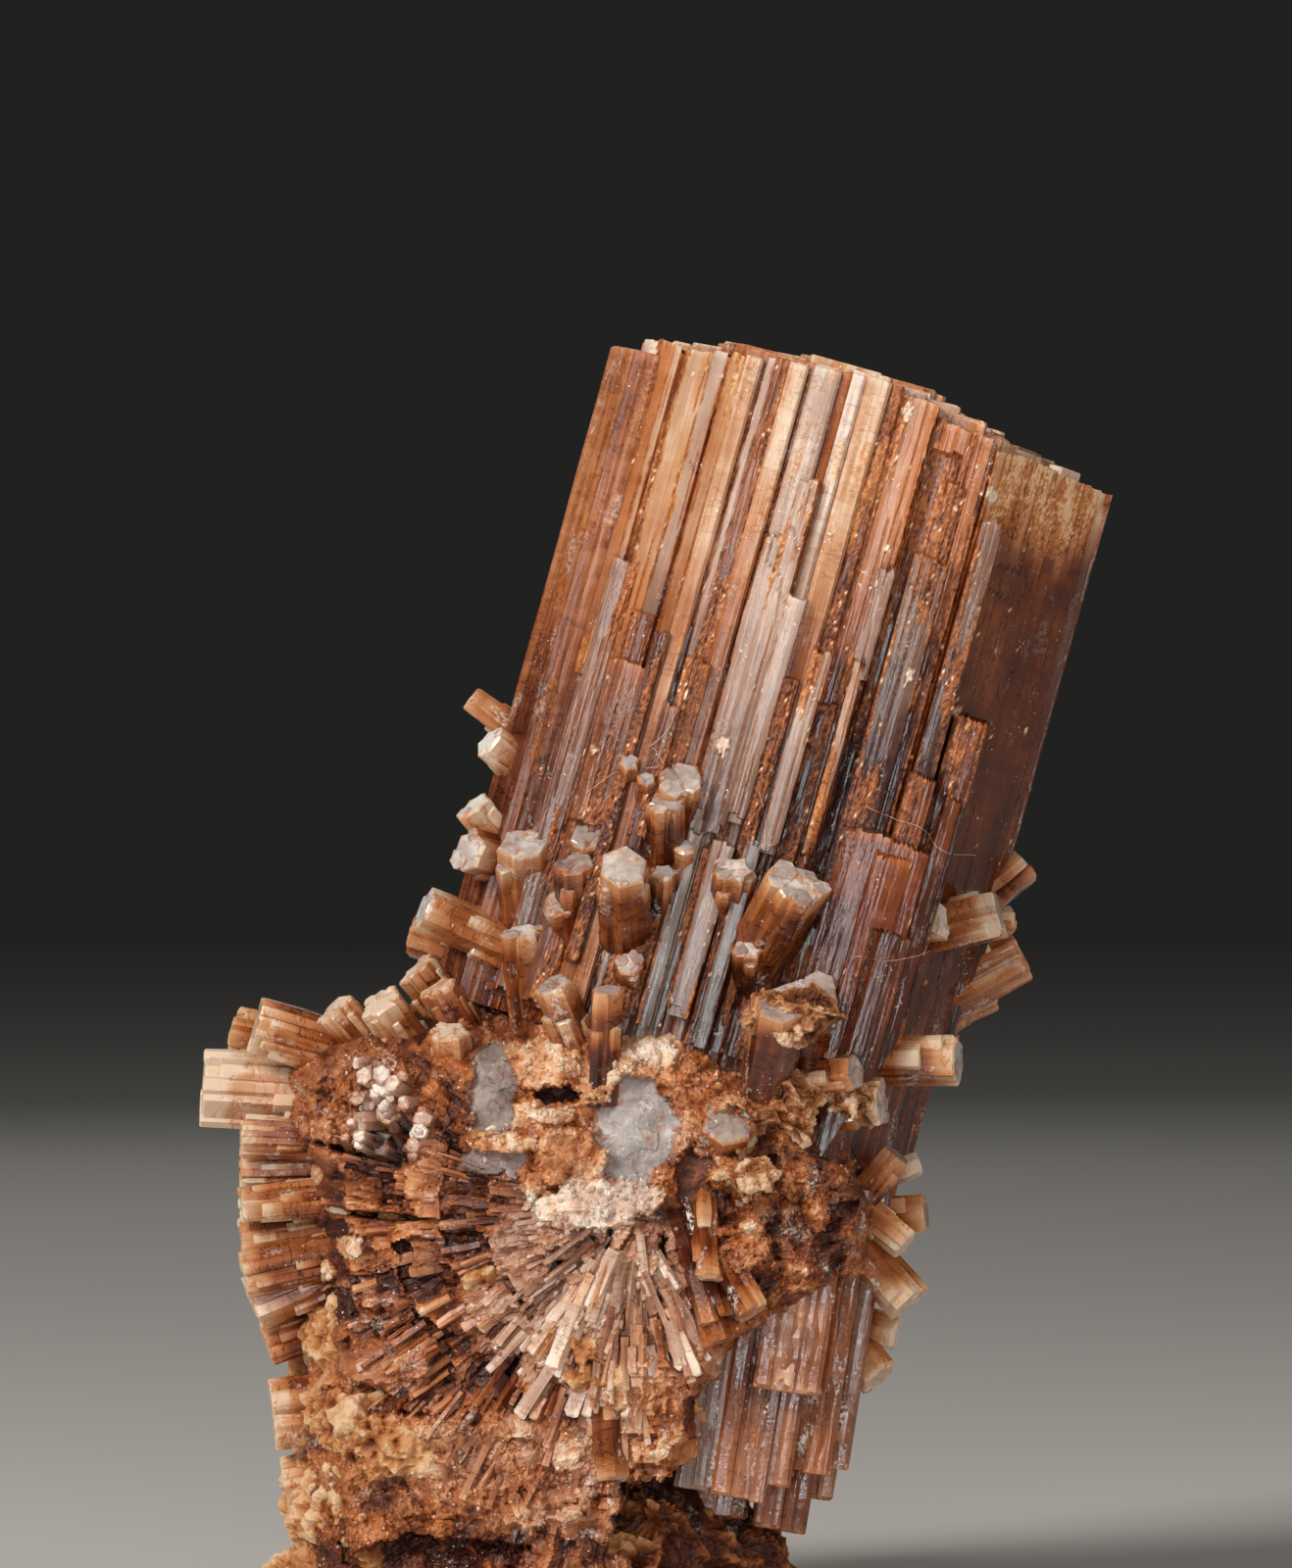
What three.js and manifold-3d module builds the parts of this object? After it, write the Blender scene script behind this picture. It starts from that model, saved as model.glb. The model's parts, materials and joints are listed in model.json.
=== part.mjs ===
// An aragonite cluster: one intergrown mass of pseudo-hexagonal crystals that radiate from one middle.
// A thick ribbed twin crystal leans up to the right and comes out again below as a small end. Short
// crystals make a belt round it, a fan of crystals points left, small sprays point right and to the
// back, and a lumpy sugary crust holds them at the foot, where the whole is cut off flat.
import * as THREE from "three";
import { mergeVertices } from "three/addons/utils/BufferGeometryUtils.js";
import Module from "manifold-3d";

const wasm = await Module();
wasm.setup();

// Driving dimensions, in millimetres and degrees. The origin is the middle of the flat cut that the
// cluster rests on, X runs to its right, Y to its back and Z up.
const MIDDLE = [1.3, 0, 15.8]; // the point that the crystals radiate from
const TILT = 15.5; // lean of the main crystal to the right
const MAIN_TOP = [9.33, 0, 40.83]; // where the main crystal's axis meets its upper end
const MAIN_PLAN = [[-8.35, 0], [-4.4, -6.9], [4.6, -6.9], [8.75, 0], [4.5, 7.1], [-4.3, 7.1]];
const INSET = 0.5; // how far the main crystal's body stays behind its ribs
const RIB_DEPTH = 1.6; // how deep a rib reaches in from its own front
const LEFT_FOOT = -22.5; // the left two thirds of the main crystal end here, in the crust
const RIGHT_FOOT = -33.0; // the right third comes out again at the bottom
const RIGHT_THIRD = 2.2; // where the right third starts, across the main crystal
const BASE_HALF = 30; // half the side of the block that cuts the foot off flat

// Places are read in a front view from this distance, so a place nearer to the viewer is brought in
// towards the view's own axis in proportion.
const VIEW = { x: 1.97, z: 28.5, distance: 296.3 };
// The same view axis, across and along the main crystal.
const MAIN_VIEW = { across: -3.8, along: -13.85 };

const radians = THREE.MathUtils.degToRad;

// A repeatable number from 0 to 1 for each seed, which spreads the sizes of what isn't seen in front.
function spread(seed) {
  const s = Math.sin(seed * 12.9898) * 43758.5453;
  return s - Math.floor(s);
}

function between(low, high, seed) {
  return low + (high - low) * spread(seed);
}

function nearer(seen, axis, y) {
  return axis + (seen - axis) * (VIEW.distance + y) / VIEW.distance;
}

// A closed geometry as a solid that can be joined and cut.
function solid(geometry, matrix = new THREE.Matrix4()) {
  const bare = geometry.clone().applyMatrix4(matrix);
  bare.deleteAttribute("normal");
  bare.deleteAttribute("uv");
  const merged = mergeVertices(bare, 1e-4);
  return new wasm.Manifold(new wasm.Mesh({
    numProp: 3,
    vertProperties: new Float32Array(merged.attributes.position.array),
    triVerts: new Uint32Array(merged.index.array),
  }));
}

// An upright column on a plan of [x, y] points, from foot to top.
function column(plan, foot, top) {
  const outline = new THREE.Shape(plan.map(([x, y]) => new THREE.Vector2(x, y)));
  return new THREE.ExtrudeGeometry(outline, { depth: top - foot, bevelEnabled: false, steps: 1 })
    .translate(0, 0, foot);
}

// Six-sided plan of a crystal: its width, its depth as a share of that, and the share of the width
// that each slanting side takes.
function sixSides(width, flatness = 0.87, slant = 0.25) {
  const w = width / 2;
  const d = w * flatness;
  const s = width * slant;
  return [[-w, 0], [-w + s, -d], [w - s, -d], [w, 0], [w - s, d], [-w + s, d]];
}

// A crystal whose end face has its middle at tip, pointing along a direction.
function crystal(tip, direction, length, plan, roll = 0) {
  const turn = new THREE.Quaternion().setFromUnitVectors(
    new THREE.Vector3(0, 0, 1), new THREE.Vector3(...direction).normalize());
  turn.multiply(new THREE.Quaternion().setFromAxisAngle(new THREE.Vector3(0, 0, 1), radians(roll)));
  const place = new THREE.Matrix4().compose(new THREE.Vector3(...tip), turn, new THREE.Vector3(1, 1, 1));
  return solid(column(plan, -length, 0), place);
}

// A direction from its angle in the front view, anticlockwise from the right, and its lean to the
// viewer.
function heading(angle, lean) {
  const a = radians(angle);
  const l = radians(lean);
  return [Math.cos(l) * Math.cos(a), -Math.sin(l), Math.cos(l) * Math.sin(a)];
}

// The main crystal, in its own frame: across it, to the back, and along its axis from its upper end.
const mainFrame = new THREE.Matrix4().compose(
  new THREE.Vector3(...MAIN_TOP),
  new THREE.Quaternion().setFromAxisAngle(new THREE.Vector3(0, 1, 0), radians(TILT)),
  new THREE.Vector3(1, 1, 1));

// Height of a line through corner points at x.
function lineAt(x, corners) {
  const next = Math.max(1, corners.findIndex((corner) => corner[0] >= x));
  const [[x0, y0], [x1, y1]] = [corners[next - 1], corners[next]];
  return THREE.MathUtils.mapLinear(x, x0, x1, y0, y1);
}

// Depth of the main crystal's front and back at a place across it.
const FRONT_CORNERS = MAIN_PLAN.slice(0, 4);
const BACK_CORNERS = [MAIN_PLAN[0], MAIN_PLAN[5], MAIN_PLAN[4], MAIN_PLAN[3]];

// Ribs of the front, from left to right: left edge, right edge, how far each stands proud of the
// front, and its upper end.
const RIBS = [
  [-8.35, -7.90, 0.10, -0.70], [-7.85, -6.74, 0.15, 0.80], [-6.35, -5.50, 0.30, 0.87],
  [-5.55, -4.85, 0.05, 1.00], [-4.80, -3.80, 0.30, 1.18], [-3.66, -2.83, 0.05, 1.30],
  [-2.90, -2.25, 0.30, 1.37], [-2.05, -0.72, 0.36, 1.50], [-0.74, -0.25, 0.20, 1.62],
  [-0.28, 0.62, 0.30, 1.66], [0.60, 1.14, 0.05, 1.50], [1.10, 2.60, -0.45, 1.22],
  [2.75, 3.92, -0.75, 0.68], [3.86, 4.60, -0.95, 0.60], [4.70, 5.50, -0.25, 0.30],
  [5.40, 6.60, 0.05, 0.28], [6.62, 8.15, 0.10, 0.08], [8.10, 8.90, 0.20, -0.10],
];

// Shorter columns in front of the ribs: left edge, right edge, front, upper end and foot.
const STEPS = [
  [-8.95, -8.10, -0.9, -10.0, -14.0], [-6.97, -6.00, -3.9, -6.7, -22], [-5.90, -4.90, -6.0, -8.2, -22],
  [-6.10, -4.90, -6.6, -10.1, -16], [-4.87, -4.30, -7.3, -8.6, -20], [-3.68, -2.69, -7.6, -9.4, -13.5],
  [-4.00, -3.25, -7.9, -11.1, -16], [-2.15, -0.20, -7.7, -1.0, -14.5], [-2.90, -1.50, -7.4, -15.0, -22],
  [-0.22, 0.42, -7.4, -9.0, -22], [0.30, 1.12, -7.9, -7.9, -15.0], [1.86, 2.53, -7.4, -4.6, -15.0],
  [2.50, 3.62, -6.3, -0.3, -16], [2.94, 4.17, -7.0, -3.9, -17], [4.84, 5.89, -6.9, -2.1, -20],
  [5.69, 6.92, -6.6, -8.7, -20], [4.75, 5.71, -7.6, -11.1, -16], [3.14, 6.14, -8.4, -13.5, -17.8],
  [4.95, 6.30, -7.2, -16.5, -25],
];

// Plan of a rib whose front lies at y = 0: its slanting sides take a share of its width each.
function ribPlan(left, right, slantLeft, slantRight, depth) {
  const w = right - left;
  return [[left, depth], [left + w * slantLeft, 0], [right - w * slantRight, 0], [right, depth]];
}

// Plan of a bar: a slab of a crystal that has split off.
function fourSides(width, flatness) {
  const w = width / 2;
  const d = w * flatness;
  return [[-w, -d], [w, -d], [w, d], [-w, d]];
}

// On the main crystal's slanting sides a rib's outer side slants with them.
const SLANT = { steep: 0.15, wide: 0.6 };

function frontColumn(left, right, front, top, foot) {
  const middle = (left + right) / 2;
  const slantLeft = middle < MAIN_PLAN[1][0] ? SLANT.wide : SLANT.steep;
  const slantRight = middle > MAIN_PLAN[2][0] ? SLANT.wide : SLANT.steep;
  const a = nearer(left, MAIN_VIEW.across, front);
  const b = nearer(right, MAIN_VIEW.across, front);
  return solid(
    column(ribPlan(a, b, slantLeft, slantRight, RIB_DEPTH), foot, nearer(top, MAIN_VIEW.along, front))
      .translate(0, front, 0),
    mainFrame);
}

// Slabs of the main crystal's body: left and right edge, upper end, foot, and how far each stays
// behind the front.
const SLABS = [
  [-7.9, -5.2, 0.60, LEFT_FOOT, INSET], [-5.25, 0.95, 1.15, LEFT_FOOT, INSET],
  [0.9, 4.65, 0.50, LEFT_FOOT - 1, 3 * INSET], [4.6, 8.3, -0.15, LEFT_FOOT - 2, INSET],
];

function mainBody() {
  const slabs = SLABS.map(([left, right, top, foot, inset]) => {
    const inner = (x) => x > left && x < right;
    const front = [left, ...FRONT_CORNERS.map((corner) => corner[0]).filter(inner), right];
    const back = [left, ...BACK_CORNERS.map((corner) => corner[0]).filter(inner), right].reverse();
    return solid(column([
      ...front.map((x) => [x, lineAt(x, FRONT_CORNERS) + inset]),
      ...back.map((x) => [x, lineAt(x, BACK_CORNERS) - INSET]),
    ], foot, top), mainFrame);
  });
  const lower = [[RIGHT_THIRD, -5.2], [5.2, -5.2], [8.1, -0.6], [5.4, 3.4], [RIGHT_THIRD, 3.4]];
  return [...slabs, solid(column(lower, RIGHT_FOOT, LEFT_FOOT), mainFrame)];
}

// Ribs round the sides and back that the front list doesn't reach: each follows the plan's outline.
const TOP_EDGE = [[-9, 0.6], [0.3, 1.4], [3, 0.6], [9, -0.2]]; // height of the upper end, across
const BACK_RIB = { width: [1.6, 2.8], overlap: 0.92, shortShare: 0.3, shortTop: [-14, -1.5] };

function backRibs() {
  const corners = [MAIN_PLAN[3], MAIN_PLAN[4], MAIN_PLAN[5], MAIN_PLAN[0]];
  const made = [];
  let seed = 1;
  for (let side = 0; side < 3; side += 1) {
    const from = new THREE.Vector2(...corners[side]);
    const to = new THREE.Vector2(...corners[side + 1]);
    const along = to.clone().sub(from).normalize();
    const out = new THREE.Vector2(along.y, -along.x);
    const length = from.distanceTo(to);
    for (let start = 0; start < length - 0.3;) {
      const width = between(...BACK_RIB.width, seed);
      const middle = from.clone().addScaledVector(along, Math.min(start + width / 2, length - 0.2))
        .addScaledVector(out, between(-0.35, 0.12, seed + 0.3) - width * 0.4);
      const isShort = spread(seed + 0.6) < BACK_RIB.shortShare;
      const whole = lineAt(middle.x, TOP_EDGE) + between(-0.3, 0.2, seed + 0.7);
      const top = isShort ? between(...BACK_RIB.shortTop, seed + 0.7) : whole;
      const plan = sixSides(width * 1.25, 0.95).map(([x, y]) => [x + middle.x, y + middle.y]);
      made.push(solid(column(plan, middle.x > 4 ? RIGHT_FOOT + 12 : LEFT_FOOT, top), mainFrame));
      start += width * BACK_RIB.overlap;
      seed += 1;
    }
  }
  return made;
}

function mainCrystal() {
  const ribs = RIBS.map(([left, right, proud, top]) => frontColumn(
    left, right, lineAt((left + right) / 2, FRONT_CORNERS) - proud, top,
    left < RIGHT_THIRD ? LEFT_FOOT : RIGHT_FOOT + 6));
  const steps = STEPS.map(([left, right, front, top, foot]) => frontColumn(left, right, front, top, foot));
  return [...mainBody(), ...ribs, ...steps, ...backRibs()];
}

// Short crystals of the belt, the sprays and the fan's edge. Each row: x and z of its end face as
// seen from the front, its y, its width, its heading in the front view, its lean to the viewer, its
// length, and its flatness.
const BELT = [
  [-3.4, 30.0, -1.4, 1.3, 140, 25, 3.5, 0.87], [-3.9, 27.8, -1.6, 1.3, 130, 20, 4.0, 0.87],
  [-4.1, 26.2, -2.8, 1.5, 165, 45, 4.5, 0.87], [-2.2, 26.5, -4.0, 2.0, 95, 42, 4.0, 0.75],
  [-5.6, 24.3, -2.6, 1.7, 155, 15, 5.0, 0.80], [-1.0, 24.5, -6.6, 1.3, 115, 50, 3.5, 0.87],
  [0.0, 26.7, -6.6, 1.4, 90, 55, 3.0, 0.80], [-0.4, 25.8, -7.2, 1.5, 93, 35, 4.0, 0.70],
  [1.2, 25.7, -9.6, 1.75, 92, 52, 4.5, 1.0], [2.6, 27.9, -8.7, 1.3, 90, 42, 3.5, 0.75],
  [3.2, 28.7, -8.4, 1.6, 80, 55, 2.5, 0.75], [5.0, 25.6, -8.3, 1.4, 80, 50, 2.5, 0.80],
  [7.2, 25.1, -9.3, 2.1, 62, 42, 4.0, 0.80], [-2.2, 23.5, -4.9, 1.4, 95, 25, 3.5, 0.75],
  [-1.2, 21.7, -8.0, 1.5, 112, 25, 4.0, 0.80], [0.65, 21.5, -8.5, 1.3, 88, 20, 4.0, 0.70],
  [12.0, 23.9, -4.8, 1.5, 5, 28, 4.0, 0.80], [14.0, 24.1, -2.8, 1.9, 14, 10, 4.5, 0.75],
  [14.8, 25.8, 0.4, 1.4, 40, -10, 4.0, 0.80], [12.6, 19.1, -5.6, 1.95, 0, 14, 5.5, 0.80],
  [9.1, 18.7, -8.4, 1.4, 8, 30, 4.0, 0.80], [10.0, 17.6, -7.0, 1.7, 0, 20, 4.5, 0.75],
  [7.1, 21.3, -9.4, 3.2, 80, 38, 3.5, 0.45], [5.4, 15.2, -8.4, 1.4, 80, 60, 2.5, 0.87],
  [4.8, 17.0, -8.6, 2.0, 70, 60, 2.5, 0.80], [10.5, 15.9, -4.6, 1.3, 50, 10, 4.5, 0.80],
];

const SPRAYS = [
  [11.5, 13.9, -3.0, 1.6, 5, 10, 5.0, 0.80], [10.8, 12.8, -4.8, 1.3, -40, 15, 5.0, 0.80],
  [10.9, 10.8, -4.4, 1.9, -48, 15, 6.5, 0.75], [10.5, 9.8, -3.0, 1.3, -15, 10, 4.5, 0.80],
  [9.9, 8.3, -3.4, 1.7, -50, 20, 5.5, 0.80], [4.5, 9.5, -8.0, 1.4, -72, 12, 5.5, 0.75],
  [5.6, 10.5, -8.2, 1.3, -58, 20, 5.5, 0.80], [4.1, 11.6, -8.2, 1.0, -88, 20, 4.0, 0.80],
  [0.8, 4.8, -7.4, 1.4, -85, 8, 4.5, 0.80], [2.0, 5.9, -7.0, 1.2, -80, 30, 4.0, 0.80],
  [2.2, 5.0, -6.6, 1.0, -80, 30, 4.0, 0.80],
];

// The crystals that make the fan's left and upper edge.
const FAN_EDGE = [
  [-13.1, 18.2, -1.0, 2.5, 176, 5, 7.0, 0.70], [-12.1, 19.8, 1.2, 2.3, 168, -4, 6.0, 0.80],
  [-11.3, 20.3, -2.6, 1.9, 163, 8, 6.5, 0.87], [-8.6, 20.9, -3.4, 1.5, 130, 20, 5.0, 0.87],
  [-7.1, 21.1, -4.4, 1.5, 125, 28, 5.0, 0.87], [-5.9, 22.2, -2.2, 1.6, 130, 14, 6.0, 0.80],
  [-5.1, 21.6, -3.6, 1.3, 120, 20, 5.5, 0.80], [-4.7, 20.1, -6.2, 1.4, 95, 28, 5.0, 0.87],
  [-11.8, 16.5, -2.6, 1.3, 178, 8, 6.0, 0.87], [-11.8, 15.3, -1.6, 1.5, 181, 6, 6.0, 0.80],
  [-11.8, 14.2, -3.0, 1.4, 184, 10, 6.0, 0.75], [-11.8, 13.0, -2.0, 1.5, 188, 6, 6.0, 0.80],
  [-11.7, 11.8, -3.2, 1.5, 192, 8, 6.0, 0.75], [-11.4, 10.8, -2.2, 1.9, 203, 6, 6.0, 0.80],
  [-10.9, 9.4, -1.2, 1.6, 200, 4, 5.0, 0.80], [-10.7, 7.0, -1.6, 2.6, 186, 6, 5.0, 0.55],
  [-10.3, 4.6, -1.2, 2.0, 190, 2, 4.5, 0.80],
];

function rows(list) {
  return list.map(([x, z, y, width, angle, lean, length, flatness], i) => crystal(
    [nearer(x, VIEW.x, y), y, nearer(z, VIEW.z, y)], heading(angle, lean), length,
    sixSides(width, flatness), 60 * spread(i + 0.5)));
}

// The fan: crystals that radiate to the left through all depths, on rings round the fan's axis. It
// is broken away in front and bare above.
const FAN = {
  rings: 4, reach: 12.6, angle: 184, opening: 46, width: [1.9, 3.0], length: 7.5,
  foremost: -0.45, highest: 0.42,
};

function fan() {
  const turn = new THREE.Quaternion().setFromUnitVectors(
    new THREE.Vector3(1, 0, 0), new THREE.Vector3(...heading(FAN.angle, 0)));
  const made = [];
  for (let ring = 0; ring < FAN.rings; ring += 1) {
    const count = 1 + 6 * ring;
    for (let i = 0; i < count; i += 1) {
      const seed = 100 + ring * 40 + i;
      const lean = radians(FAN.opening * (ring + between(-0.25, 0.25, seed)) / FAN.rings);
      const round = 2 * Math.PI * (i + between(-0.25, 0.25, seed + 0.2)) / count;
      const direction = new THREE.Vector3(
        Math.cos(lean), Math.sin(lean) * Math.cos(round), Math.sin(lean) * Math.sin(round));
      direction.applyQuaternion(turn);
      if (direction.y < FAN.foremost || direction.z > FAN.highest) {
        continue;
      }
      const reach = FAN.reach * (1 - 0.06 * ring) * between(0.86, 1, seed + 0.4);
      const tip = direction.clone().multiplyScalar(reach).add(new THREE.Vector3(...MIDDLE));
      made.push(crystal(tip.toArray(), direction.toArray(), FAN.length,
        sixSides(between(...FAN.width, seed + 0.6), between(0.7, 1, seed + 0.8)), 360 * spread(seed + 0.9)));
    }
  }
  return made;
}

// Broken splinters that radiate in front, from the left round to straight down.
const SPLINTERS = {
  count: 24, from: 172, to: 282, near: 5.0, far: 11.6, front: -7.2, fallsBack: 0.12, width: [0.7, 1.4],
};

function splinters() {
  return Array.from({ length: SPLINTERS.count }, (_, i) => {
    const seed = 400 + i;
    const angle = THREE.MathUtils.lerp(SPLINTERS.from, SPLINTERS.to, (i + spread(seed)) / SPLINTERS.count);
    const reach = THREE.MathUtils.lerp(SPLINTERS.near, SPLINTERS.far, spread(seed + 0.2));
    const direction = heading(angle, between(2, 22, seed + 0.4));
    const y = SPLINTERS.front + between(-0.9, 0.7, seed + 0.5)
      + SPLINTERS.fallsBack * (SPLINTERS.far - reach);
    const tip = [MIDDLE[0] + reach * direction[0], y, MIDDLE[2] + reach * direction[2]];
    return crystal(tip, direction, between(3, 5, seed + 0.6),
      fourSides(between(...SPLINTERS.width, seed + 0.7), 0.7), 360 * spread(seed + 0.8));
  });
}

// The lower end of the main crystal: flat-ended columns that lean a little less. Each row: left and
// right edge, front, height of its lower end, height it starts from, and its depth.
const LOWER_TILT = 9;
const LOWER = [
  [5.6, 7.85, -6.9, 7.8, 14, 3.0], [2.9, 4.25, -6.0, 4.5, 15, 3.5], [4.15, 6.0, -6.3, 4.2, 15, 4.0],
  [5.95, 6.85, -6.0, 4.6, 15, 4.0], [6.75, 8.2, -5.4, 5.1, 15, 4.0], [7.9, 8.85, -4.4, 5.2, 15, 4.0],
  [5.6, 7.4, -2.9, 3.1, 15, 3.2], [3.2, 5.4, -2.4, 3.6, 14, 3.4], [6.6, 8.3, 0.0, 4.2, 15, 3.2],
];

function lowerEnd() {
  const lean = radians(LOWER_TILT);
  return LOWER.map(([left, right, front, low, high, depth], i) => {
    const width = nearer(right, VIEW.x, front) - nearer(left, VIEW.x, front);
    const middle = nearer((left + right) / 2, VIEW.x, front);
    const plan = ribPlan(-width / 2, width / 2, 0.15, 0.15, depth);
    const foot = nearer(low, VIEW.z, front);
    const length = (high - foot) / Math.cos(lean);
    const place = new THREE.Matrix4().makeTranslation(middle, front + 0.02 * i, foot)
      .multiply(new THREE.Matrix4().makeRotationY(lean));
    return solid(column(plan, 0, length), place);
  });
}

// The belt goes on round the sides and the back of the main crystal.
const BELT_BACK = { count: 12, low: -21, high: -12.5, width: [1.1, 2.1], stands: [1.2, 3.0], root: 1.8 };

function beltBack() {
  return Array.from({ length: BELT_BACK.count }, (_, i) => {
    const seed = 500 + i;
    const round = Math.PI * (i + 0.6 * spread(seed)) / BELT_BACK.count;
    const along = between(BELT_BACK.low, BELT_BACK.high, seed + 0.1);
    const foot = new THREE.Vector3(
      MAIN_PLAN[3][0] * Math.cos(round), MAIN_PLAN[4][1] * Math.sin(round), along).applyMatrix4(mainFrame);
    const direction = new THREE.Vector3(Math.cos(round), Math.sin(round), between(0.1, 0.9, seed + 0.3));
    direction.normalize();
    const stands = between(...BELT_BACK.stands, seed + 0.4);
    const tip = foot.addScaledVector(direction, stands - INSET);
    const plan = sixSides(between(...BELT_BACK.width, seed + 0.5), between(0.7, 0.95, seed + 0.6));
    return crystal(tip.toArray(), direction.toArray(), stands + BELT_BACK.root, plan, 60 * spread(seed + 0.7));
  });
}

// Two stubby twin crystals that point to the back, each a bundle of parallel columns.
const BACK_BUNDLES = [
  { tip: [-2.6, 12.0, 13.4], direction: [-0.28, 1, -0.10], radius: 2.7, columns: 9, length: 9, seed: 600 },
  { tip: [7.6, 10.2, 12.0], direction: [0.55, 0.85, -0.18], radius: 2.1, columns: 7, length: 8, seed: 640 },
];

function bundle({ tip, direction, radius, columns, length, seed }) {
  const axis = new THREE.Vector3(...direction).normalize();
  const turn = new THREE.Quaternion().setFromUnitVectors(new THREE.Vector3(0, 0, 1), axis);
  const made = [crystal(tip, direction, length, sixSides(radius * 1.9, 0.87))];
  for (let i = 0; i < columns; i += 1) {
    const round = 2 * Math.PI * (i + 0.5 * spread(seed + i)) / columns;
    const out = new THREE.Vector3(Math.cos(round), Math.sin(round), 0).multiplyScalar(radius * 0.84);
    out.z = between(-1.8, 0.35, seed + i + 0.2);
    const end = out.applyQuaternion(turn).add(new THREE.Vector3(...tip));
    made.push(crystal(end.toArray(), direction, length,
      sixSides(radius * between(0.45, 0.75, seed + i + 0.4), 0.9), 0));
  }
  return made;
}

// Lumps of sugary crust and granular mass. Each row: x, y, z, then half its width, depth and height.
const LUMPS = [
  [0.7, -1.6, 16.6, 4.3, 6.8, 4.6], [-3.6, -0.4, 16.0, 5.0, 6.4, 3.8], [-4.6, -0.2, 11.4, 5.6, 6.4, 5.4],
  [-4.9, 0.2, 5.6, 5.6, 6.8, 5.4], [0.8, -0.8, 9.4, 4.6, 6.8, 6.2], [4.6, 0.4, 11.6, 4.2, 6.0, 6.4],
  [-2.4, 0.9, 1.0, 7.6, 7.6, 4.6], [2.4, 1.4, 1.6, 4.4, 6.0, 4.8], [-2.2, 3.8, 15.0, 5.8, 4.8, 7.0],
  [4.4, 3.0, 16.8, 5.8, 5.0, 5.4],
];
const LUMP_DETAIL = { front: 2, back: 1 }; // how finely the lumps in front and behind are faceted
const LUMP_ROUGHNESS = 0.11; // how far knobs and hollows stand off a lump, as a share of its radius

function lump([x, y, z, halfWidth, halfDepth, halfHeight], i) {
  const ball = new THREE.IcosahedronGeometry(1, y < 1 ? LUMP_DETAIL.front : LUMP_DETAIL.back);
  ball.deleteAttribute("normal");
  ball.deleteAttribute("uv");
  const rough = mergeVertices(ball, 1e-4);
  const place = rough.attributes.position;
  const p = new THREE.Vector3();
  for (let n = 0; n < place.count; n += 1) {
    p.fromBufferAttribute(place, n);
    const knobs = Math.sin(5.1 * p.x + 1.7 * i) * Math.sin(4.3 * p.y + 2.3 * i)
      + Math.sin(5.7 * p.z + 3.1 * p.x + i);
    p.multiplyScalar(1 + LUMP_ROUGHNESS * knobs);
    place.setXYZ(n, p.x * halfWidth, p.y * halfDepth, p.z * halfHeight);
  }
  return solid(rough, new THREE.Matrix4().makeTranslation(x, y, z));
}

// Everything is joined, and the foot is cut off flat.
function cluster() {
  const pieces = [
    ...mainCrystal(),
    ...rows(BELT),
    ...rows(SPRAYS),
    ...rows(FAN_EDGE),
    ...fan(),
    ...splinters(),
    ...lowerEnd(),
    ...beltBack(),
    ...BACK_BUNDLES.flatMap(bundle),
    ...LUMPS.map(lump),
  ];
  const whole = pieces.reduce((a, b) => a.add(b));
  const below = solid(new THREE.BoxGeometry(2 * BASE_HALF, 2 * BASE_HALF, 2 * BASE_HALF)
    .translate(0, 0, -BASE_HALF));
  const cut = whole.subtract(below);
  const [body] = cut.decompose().sort((a, b) => b.volume() - a.volume()); // the rest are slivers
  const mesh = body.getMesh();
  return new THREE.BufferGeometry()
    .setAttribute("position", new THREE.BufferAttribute(mesh.vertProperties, mesh.numProp))
    .setIndex(new THREE.BufferAttribute(mesh.triVerts, 1));
}

const material = new THREE.MeshStandardMaterial({ color: 0xb9794a, roughness: 0.38, metalness: 0 });
const aragonite = new THREE.Mesh(cluster(), material);
aragonite.name = "aragonite_cluster";
const specimen = new THREE.Group();
specimen.add(aragonite);

export default specimen;
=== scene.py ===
import json
import math

import bmesh
import bpy
import numpy as np
from mathutils import Matrix, Quaternion, Vector, noise

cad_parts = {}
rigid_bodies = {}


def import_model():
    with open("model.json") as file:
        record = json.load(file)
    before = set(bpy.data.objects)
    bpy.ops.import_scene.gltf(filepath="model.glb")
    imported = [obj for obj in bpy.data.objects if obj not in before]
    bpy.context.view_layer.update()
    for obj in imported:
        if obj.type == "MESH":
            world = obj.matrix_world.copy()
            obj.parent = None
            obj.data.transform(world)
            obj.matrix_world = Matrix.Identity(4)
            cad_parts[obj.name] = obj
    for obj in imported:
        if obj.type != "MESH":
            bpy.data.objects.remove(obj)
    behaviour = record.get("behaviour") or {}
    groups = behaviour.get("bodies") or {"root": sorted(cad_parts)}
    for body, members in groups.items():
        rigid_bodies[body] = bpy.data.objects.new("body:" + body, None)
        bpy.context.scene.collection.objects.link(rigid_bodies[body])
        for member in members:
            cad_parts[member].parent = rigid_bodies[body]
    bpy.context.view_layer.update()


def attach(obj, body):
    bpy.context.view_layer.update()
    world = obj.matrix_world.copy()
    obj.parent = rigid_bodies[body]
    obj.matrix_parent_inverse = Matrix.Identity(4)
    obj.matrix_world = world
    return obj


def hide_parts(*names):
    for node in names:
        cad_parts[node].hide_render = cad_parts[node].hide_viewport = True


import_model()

# The view and the light.
# A pale floor runs out into a dim studio. A big soft lamp high on the left gives most of the light, two
# low cool ones beside the lens shine in the crystal faces, and three weak ones fill front, edge and back.
MM = 0.001
VIEW = {"x": 1.97, "z": 28.5, "distance": 296.3}  # the camera's place in front of the cluster, mm
HEART = (0.003, 0, 0.024)
FLOOR_HALF = 1.2


def stood(name, data):
    body = bpy.data.objects.new(name, data)
    bpy.context.scene.collection.objects.link(body)
    return body


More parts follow.
